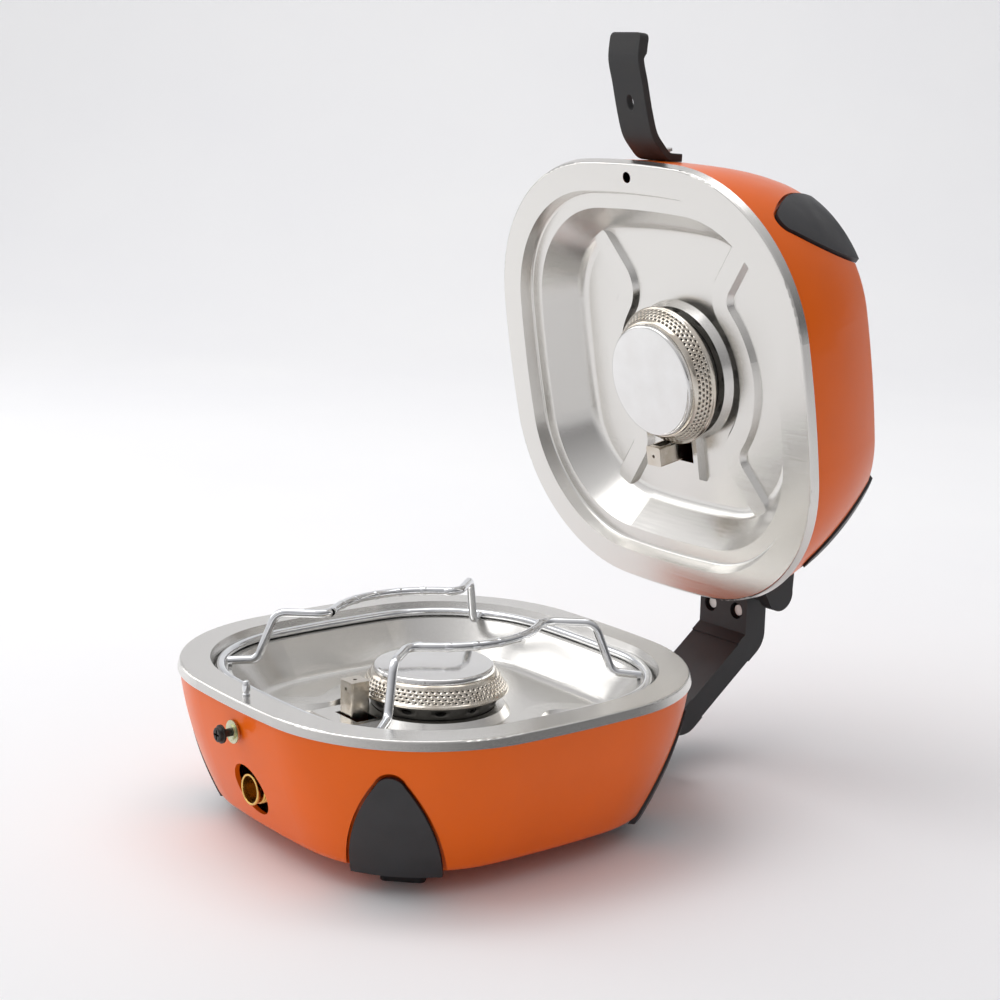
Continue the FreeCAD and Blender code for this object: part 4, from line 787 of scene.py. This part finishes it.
class STOVE_OT_controls(bpy.types.Operator):
    """Fluted gas knobs and dished igniter buttons on the left side of both halves"""

    bl_idname = "stove.controls"
    bl_label = "Controls"

    def execute(self, context):
        sizes = context.scene.stove_sizes
        for half in HALVES:
            self.make_knob(half, sizes)
            self.make_button(half)
        return {"FINISHED"}

    def make_knob(self, half, sizes):
        low, high = half_box("base_knob")
        radius = (high.y - low.y) / 2
        length = high.x - low.x
        grip_low = length * 0.42

        def flute(here, angle, height):
            if height < grip_low or here < radius * 0.7:
                return here
            return here - FLUTE_DEPTH * (0.5 + 0.5 * math.cos(angle * sizes.knob_flutes)) ** 2

        profile = rounded([
            (0, 0.6, 0), (radius - 2, 0.6, 0), (radius - 2, 0, 0), (radius, 0, 0.5),
            (radius, length * 0.3, 0.9), (radius - 1.2, length * 0.38, 0.6),
            (radius - 1.9, grip_low + 0.1, 0.3), (radius - 2.4, length * 0.7, 0),
            (radius - 2.9, length, 1.4), (radius - 5.4, length, 0.4),
            (radius - 5.9, length - 0.7, 0.4), (0, length - 0.7, 0),
        ])
        knob = joined([lathe(profile, sizes.knob_flutes * 10, flute), self.pointer(radius - 3.2, length)])
        place = in_half(half, (high.x, 0, (low.z + high.z) / 2), AXIS_OUT_LEFT)
        piece(f"{half}_fluted_knob", knob, place, "black_plastic", [f"{half}_knob"], f"{half}_knob")

    def pointer(self, reach, top):
        """Raised bar across the knob's face, from its middle to its edge."""
        bar = slab([flat_grid((2, -1), (reach - 0.6, 1), 6, 2)])
        bar.transform(Matrix.Translation((0, 0, top - 0.1)))
        return bar

    def make_button(self, half):
        low, high = half_box("base_igniter_button")
        radius = BUTTON_RADIUS
        flange = radius + 1.4
        out = BUTTON_BASE - low.x
        profile = rounded([
            (0, -13.6, 0), (1.9, -13.6, 0.3), (1.9, -2.4, 0.2), (flange, -2.4, 0.3), (flange, -1.6, 0.3),
            (radius - 0.05, -1.6, 0.2), (radius - 0.05, out - 0.1, 1.1), (radius - 1.8, out - 0.1, 0.5),
            (radius - 3, out - 0.8, 1.2), (0, out - 1.1, 0),
        ])
        place = in_half(half, (BUTTON_BASE, (low.y + high.y) / 2, (low.z + high.z) / 2), AXIS_OUT_LEFT)
        button = joined([lathe(profile, 64)])
        replaced = [f"{half}_igniter_button"]
        piece(f"{half}_dished_button", button, place, "black_plastic", replaced, f"{half}_igniter")


INLET_BORE = 6.6
CREST = 7.9  # outer radius of the inlet's thread
ROOT = 7.25  # radius at the foot of the thread
THREAD_START = 8.6
THREAD_TURNS = 5
THREAD_PITCH = 1.4
PIN_RADIUS = 1.95
PIN_HEAD = 3.45  # radius of the pin's head under the flange
PIN_GROOVE = 1.45


class STOVE_OT_front(bpy.types.Operator):
    """Threaded gas inlet and grooved locating pin on the front of the base"""

    bl_idname = "stove.front"
    bl_label = "Front fittings"

    def execute(self, context):
        self.make_inlet()
        self.make_pin()
        return {"FINISHED"}

    def make_inlet(self):
        low, high = half_box("gas_inlet_fitting")
        length = high.y - low.y
        end = length - 0.05
        profile = [(2.1, 0.05, 0), (10.9, 0.05, 0.3), (10.9, 4.9, 0.6), (7.1, 4.9, 0.2), (7.1, 8, 0.2)]
        for turn in range(THREAD_TURNS):
            height = THREAD_START + turn * THREAD_PITCH
            profile += [(CREST, height, 0.15), (CREST, height + 0.25, 0.15), (ROOT, height + 0.8, 0.1)]
        profile += [
            (7.3, length - 2.2, 0.2), (CREST, length - 1.9, 0.3), (CREST, end, 0.5),
            (INLET_BORE + 0.1, end, 0.4), (INLET_BORE, length - 3, 0), (INLET_BORE, 4.1, 0.6),
            (2.1, 4.1, 0.2),
        ]
        outline = rounded(profile, 3)
        tube = joined([lathe(outline + outline[:1], 96)])
        place = in_half("base", (0, high.y, (low.z + high.z) / 2), AXIS_OUT_FRONT)
        piece("threaded_inlet", tube, place, "brass", ["gas_inlet_fitting"], "base")

    def make_pin(self):
        low, high = half_box("locating_pin")
        top = high.z
        profile = rounded([
            (0, low.z + 0.05, 0), (PIN_HEAD, low.z + 0.05, 0.2), (PIN_HEAD, -0.9, 0.2),
            (PIN_RADIUS, -0.85, 0.1), (PIN_RADIUS, 0.9, 0.1), (PIN_GROOVE, 1.2, 0.2), (PIN_GROOVE, 1.9, 0.2),
            (PIN_RADIUS, 2.3, 0.2), (1.98, top - 2, 0.6), (1.25, top - 0.05, 0.5), (0, top - 0.02, 0),
        ])
        place = in_half("base", (0, (low.y + high.y) / 2, 0))
        piece("grooved_pin", joined([lathe(profile, 48)]), place, "chrome", ["locating_pin"], "base")


def smooth_step(share):
    share = min(max(share, 0), 1)
    return share * share * (3 - 2 * share)


STRAP_LINE = [  # (along Y, along Z) of the strap's front face in the lid's half frame
    (115.5, -31), (116.8, -25), (119.0, -19.4), (125, -14.6), (133, -10.2), (145, -8.1), (161, -6.7),
    (174, -5.6), (187, -9.0),
]
STRAP_SLOT = 47.0  # middle of the slot along the strap
SLOT_ACROSS = 2.3  # half the slot's width
SLOT_ALONG = 4.2  # half its length
SLOT_CELL = 12.0  # length of the strap's section that holds the slot
STRAP_COLUMNS = 6  # grid steps across the strap
STRAP_CORNER = 3.0  # rounding of the strap's corners
STRAP_END_EXTRA = 2.0  # further thickness of the strap's end
STRAP_END_LENGTH = 14.0
STRAP_EDGE = 0.0007  # rounding of its edges, in metres


class STOVE_OT_strap(bpy.types.Operator):
    """One-piece rubber latch strap: a foot on the lid's wall and a slotted tongue with a thick end"""

    bl_idname = "stove.strap"
    bl_label = "Latch strap"

    def execute(self, context):
        sizes = context.scene.stove_sizes
        width = sizes.strap_width / MM
        sheet = sizes.strap_thickness / MM
        path = Path([Vector((0, *point)) for point in STRAP_LINE])
        slot_low = STRAP_SLOT - SLOT_CELL / 2
        slot_high = STRAP_SLOT + SLOT_CELL / 2
        cell = pierced_cell(STRAP_COLUMNS, SLOT_ACROSS / width, SLOT_ALONG / SLOT_CELL)
        cell.transform(Matrix.Translation((0, STRAP_SLOT, 0)) @ Matrix.Diagonal((width, SLOT_CELL, 1, 1)))
        half = width / 2
        end = path.length
        strap = slab([
            flat_grid((-half, 0), (half, slot_low), STRAP_COLUMNS, 44), cell,
            flat_grid((-half, slot_high), (half, end - STRAP_CORNER), STRAP_COLUMNS, 18),
            flat_grid((-half, end - STRAP_CORNER), (half, end), STRAP_COLUMNS, 6),
        ])
        for vertex in strap.vertices:
            across, along, depth = vertex.co
            nearest_end = max(0, min(along, end - along))
            if nearest_end < STRAP_CORNER:
                lean = 1 - math.sqrt(1 - (1 - nearest_end / STRAP_CORNER) ** 2)
                across *= 1 - lean * STRAP_CORNER / half
            extra = STRAP_END_EXTRA * smooth_step((along - end + STRAP_END_LENGTH) / 4)
            normal = path.direction(along).cross(Vector((-1, 0, 0)))
            place = path.at(along) + normal * depth * (sheet + extra)
            vertex.co = (across, place.y, place.z)
        replaced = ["latch_strap", "strap_anchor"]
        item = piece("rubber_strap", joined([strap]), HALF_FRAME["lid"], "black_rubber", replaced)
        add_modifier(
            item, "BEVEL", width=STRAP_EDGE, segments=3, limit_method="ANGLE", angle_limit=math.radians(50)
        )
        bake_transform(item)
        return {"FINISHED"}


HOSE_BOW = 24.4  # the hose's middle behind the line of the hinge pins
HOSE_RISE = 19.0  # its bends from the pins, along that line
HOSE_RADIUS = 3.1
HOSE_END = 10.2  # its ends' distance from the pins
RIB_PITCH = 2.4
RIB_DEPTH = 0.25


class STOVE_OT_arm(bpy.types.Operator):
    """Corrugated gas hose inside the hinge arm"""

    bl_idname = "stove.arm"
    bl_label = "Hinge arm"

    def execute(self, context):
        start = box_centre("base_hinge_pin")
        end = box_centre("lid_hinge_pin")
        span = (end - start) / MM
        lean = math.atan2(span.y, span.z)
        place = Matrix.Translation(start) @ Matrix.Rotation(-lean, 4, "X") @ Matrix.Scale(MM, 4)
        bow = HOSE_BOW
        rise = HOSE_RISE
        toe = Vector((0, bow, rise)).normalized() * HOSE_END
        near = [
            toe, Vector((0, bow * 0.72, rise * 0.72)), Vector((0, bow - 1, rise + 5)),
            Vector((0, bow, rise + 16)),
        ]
        far = [Vector((0, point.y, span.length - point.z)) for point in reversed(near)]
        path = Path([*near, Vector((0, bow, span.length / 2)), *far])

        def ribbed(distance):
            return HOSE_RADIUS - RIB_DEPTH * (1 + math.cos(2 * math.pi * distance / RIB_PITCH)) / 2

        hose = joined([swept(path, ribbed, 200, 16)])
        piece("ribbed_hose", hose, place, "black_rubber", ["hinge_gas_hose"], "arm")
        return {"FINISHED"}


SUPPORT_ARC = 54.0  # radius of the support wires' inner arcs about the burner
SUPPORT_HEIGHT = 22.0
WIRE_RADIUS = 2.25
MARK_SPREAD = 44  # degrees each way from the side
MARK_LENGTH = 4.6
MARK_HEIGHT = 0.42
MARK_SINK = 0.12  # the marks' edges lie this far inside the wire


class STOVE_OT_support(bpy.types.Operator):
    """Pressed grip marks on the wire pot support"""

    bl_idname = "stove.support"
    bl_label = "Pot support"

    def execute(self, context):
        sizes = context.scene.stove_sizes
        tree = marks_tree()
        mark = helper_object(self.mark())
        for name, side in (("left", -1), ("right", 1)):
            path = self.arc(side)
            made = grown(
                tree, path=path, mark=mark, spacing=sizes.mark_spacing / MM, finish=FINISHES["chrome"],
            )
            bpy.data.objects.remove(path)
            piece(f"{name}_grip_marks", joined([made]), HALF_FRAME["base"], "chrome", body="pot_support")
        bpy.data.objects.remove(mark)
        return {"FINISHED"}

    def arc(self, side):
        """The inner arc of one support wire, as a curve."""
        data = bpy.data.curves.new("arc", "CURVE")
        data.dimensions = "3D"
        spline = data.splines.new("POLY")
        steps = 48
        spline.points.add(steps)
        for index in range(steps + 1):
            angle = math.radians(MARK_SPREAD) * (2 * index / steps - 1)
            spot = (side * SUPPORT_ARC * math.cos(angle), SUPPORT_ARC * math.sin(angle), SUPPORT_HEIGHT, 1)
            spline.points[index].co = spot
        item = bpy.data.objects.new("arc", data)
        bpy.context.scene.collection.objects.link(item)
        return item

    def mark(self):
        """A low saddle pressed over a wire that runs along Z."""
        points = []
        rings = 7
        sides = 11
        for ring in range(rings):
            share = ring / (rings - 1) * 2 - 1
            swell = MARK_HEIGHT * (1 - share**2) - MARK_SINK
            for side in range(sides):
                around = side / (sides - 1) * 2 - 1
                angle = around * math.radians(150)
                radius = WIRE_RADIUS + swell * (1 - around**4)
                points.append((radius * math.cos(angle), radius * math.sin(angle), share * MARK_LENGTH / 2))
        faces = []
        for ring in range(rings - 1):
            for side in range(sides - 1):
                start = ring * sides + side
                faces.append((start, start + 1, start + 1 + sides, start + sides))
        return new_mesh(points, faces)


SOFT_EDGES = {  # bevel width in millimetres of CAD nodes whose edges are moulded or rolled
    "shell": 1.6, "hinge_bracket": 1.2, "hinge_arm_front": 1.0, "hinge_arm_back": 1.0, "foot_": 0.5,
    "igniter_shroud": 0.25, "strap_peg": 0.2,
}


class STOVE_OT_edges(bpy.types.Operator):
    """Softens the edges of moulded and pressed CAD nodes"""

    bl_idname = "stove.edges"
    bl_label = "Soft edges"

    def execute(self, context):
        for node, item in NODES.items():
            for word, width in SOFT_EDGES.items():
                if word in node and "screws" not in node:
                    add_modifier(
                        item, "BEVEL", width=width * MM, segments=3, limit_method="ANGLE",
                        angle_limit=math.radians(42), harden_normals=False,
                    )
        return {"FINISHED"}


BRIGHT_SIDE = Vector((-0.62, -0.3, 0.72))  # direction of the brightest part of the room
FLOOR_BEHIND = 1.6  # the floor starts to curve up this far behind the stove, in metres


class STOVE_OT_stage(bpy.types.Operator):
    """Pale floor, soft light and the camera"""

    bl_idname = "stove.stage"
    bl_label = "Stage"

    def execute(self, context):
        stage = context.scene.stove_stage
        context.scene.view_settings.view_transform = "Standard"
        self.make_floor(stage)
        self.make_surround(context, stage)
        self.make_light(context, stage)
        self.make_camera(context, stage)
        return {"FINISHED"}

    def make_floor(self, stage):
        """Floor that sweeps up into a backdrop behind the stove."""
        radius = 1.2
        line = [(-4.0, 0.0), (FLOOR_BEHIND, 0.0)]
        for step in range(1, 25):
            angle = math.radians(90) * step / 24
            line.append((FLOOR_BEHIND + radius * math.sin(angle), radius - radius * math.cos(angle)))
        line.append((FLOOR_BEHIND + radius, 4.0))
        points = [(across, away, up) for away, up in line for across in (-5.0, 5.0)]
        faces = [(row, row + 1, row + 3, row + 2) for row in range(0, len(points) - 2, 2)]
        mesh = new_mesh(points, faces)
        mesh.transform(Matrix.Rotation(stage.azimuth, 4, "Z"))
        for face in mesh.polygons:
            face.use_smooth = True
        floor = bpy.data.objects.new("floor", mesh)
        bpy.context.scene.collection.objects.link(floor)
        finish = Finish("floor", (0.9, 0.9, 0.905), 0.7)
        finish.set("Specular IOR Level", 0.1)
        finish.worn((0.89, 0.89, 0.9), (0.91, 0.91, 0.912), 0.65, 0.75, 3)
        floor.data.materials.append(finish.material)

    def make_surround(self, context, stage):
        """Pale room, brighter towards its ceiling and on the left than on the right."""
        world = bpy.data.worlds.new("surround")
        world.use_nodes = True
        tree = world.node_tree
        background = tree.nodes["Background"]
        background.inputs["Color"].default_value = (0.93, 0.925, 0.945, 1)
        facing = tree.nodes.new("ShaderNodeVectorMath")
        facing.operation = "DOT_PRODUCT"
        facing.inputs[1].default_value = BRIGHT_SIDE
        tree.links.new(tree.nodes.new("ShaderNodeTexCoord").outputs["Object"], facing.inputs[0])
        ramp = tree.nodes.new("ShaderNodeMapRange")
        ramp.inputs["From Min"].default_value = -0.6
        ramp.inputs["From Max"].default_value = 0.9
        ramp.inputs["To Min"].default_value = 0.16 * stage.surround
        ramp.inputs["To Max"].default_value = 1.12 * stage.surround
        tree.links.new(facing.outputs["Value"], ramp.inputs["Value"])
        tree.links.new(ramp.outputs[0], background.inputs["Strength"])
        context.scene.world = world

    def make_light(self, context, stage):
        stove = Vector((0, 0.05, 0.15))
        away = Vector((-math.sin(stage.azimuth), math.cos(stage.azimuth), 0))
        wall = away * (FLOOR_BEHIND + 1.2) + Vector((0, 0, 0.9))
        for name, spot, aim, across, power in (
            ("key", (-0.5, -0.6, 1.6), stove, 1.2, stage.key),
            ("side", (-1.5, -0.6, 0.8), stove, 0.9, stage.key * 0.5),
            ("backdrop", away * 0.6 + Vector((0, 0, 2.4)), wall, 2.0, stage.key * 3.4),
        ):
            data = bpy.data.lights.new(name, "AREA")
            data.shape = "SQUARE"
            data.size = across
            data.energy = power
            light = bpy.data.objects.new(name, data)
            light.location = spot
            light.rotation_mode = "QUATERNION"
            light.rotation_quaternion = (aim - Vector(spot)).to_track_quat("-Z", "Y")
            context.scene.collection.objects.link(light)

    def make_camera(self, context, stage):
        flat = math.cos(stage.elevation)
        back = Vector((
            math.sin(stage.azimuth) * flat, -math.cos(stage.azimuth) * flat, math.sin(stage.elevation)
        ))
        level = Vector((math.cos(stage.azimuth), math.sin(stage.azimuth), 0))
        rise = back.cross(level)
        right = level * math.cos(stage.roll) + rise * math.sin(stage.roll)
        up = rise * math.cos(stage.roll) - level * math.sin(stage.roll)
        target = Vector((0.051, 0.0003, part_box("base_tray")[1].z + 0.0934))
        data = bpy.data.cameras.new("camera")
        data.lens = stage.lens
        camera = bpy.data.objects.new("camera", data)
        turn = Matrix((right, up, back)).transposed().to_4x4()
        camera.matrix_world = Matrix.Translation(target + back * stage.distance) @ turn
        context.scene.collection.objects.link(camera)
        context.scene.camera = camera


class STOVE_PT_panel(bpy.types.Panel):
    """Lists the stove's pieces and settings"""

    bl_idname = "STOVE_PT_panel"
    bl_label = "Camping stove"
    bl_space_type = "VIEW_3D"
    bl_region_type = "UI"
    bl_category = "Stove"

    def draw(self, context):
        for group in (context.scene.stove_sizes, context.scene.stove_colours, context.scene.stove_stage):
            for name in group.__annotations__:
                self.layout.prop(group, name)
        for operator in OPERATORS:
            self.layout.operator(operator.bl_idname)


GROUPS = {"stove_sizes": StoveSizes, "stove_colours": StoveColours, "stove_stage": StoveStage}
OPERATORS = (
    STOVE_OT_finishes, STOVE_OT_burners, STOVE_OT_controls, STOVE_OT_front, STOVE_OT_strap, STOVE_OT_arm,
    STOVE_OT_support, STOVE_OT_edges, STOVE_OT_stage,
)


def register():
    for name, group in GROUPS.items():
        bpy.utils.register_class(group)
        setattr(bpy.types.Scene, name, PointerProperty(type=group))
    for item in (*OPERATORS, STOVE_PT_panel):
        bpy.utils.register_class(item)


def unregister():
    for item in (STOVE_PT_panel, *reversed(OPERATORS)):
        bpy.utils.unregister_class(item)
    for name, group in GROUPS.items():
        delattr(bpy.types.Scene, name)
        bpy.utils.unregister_class(group)


def main():
    register()
    for operator in OPERATORS:
        family, name = operator.bl_idname.split(".")
        getattr(getattr(bpy.ops, family), name)()


if __name__ == "__main__":
    main()
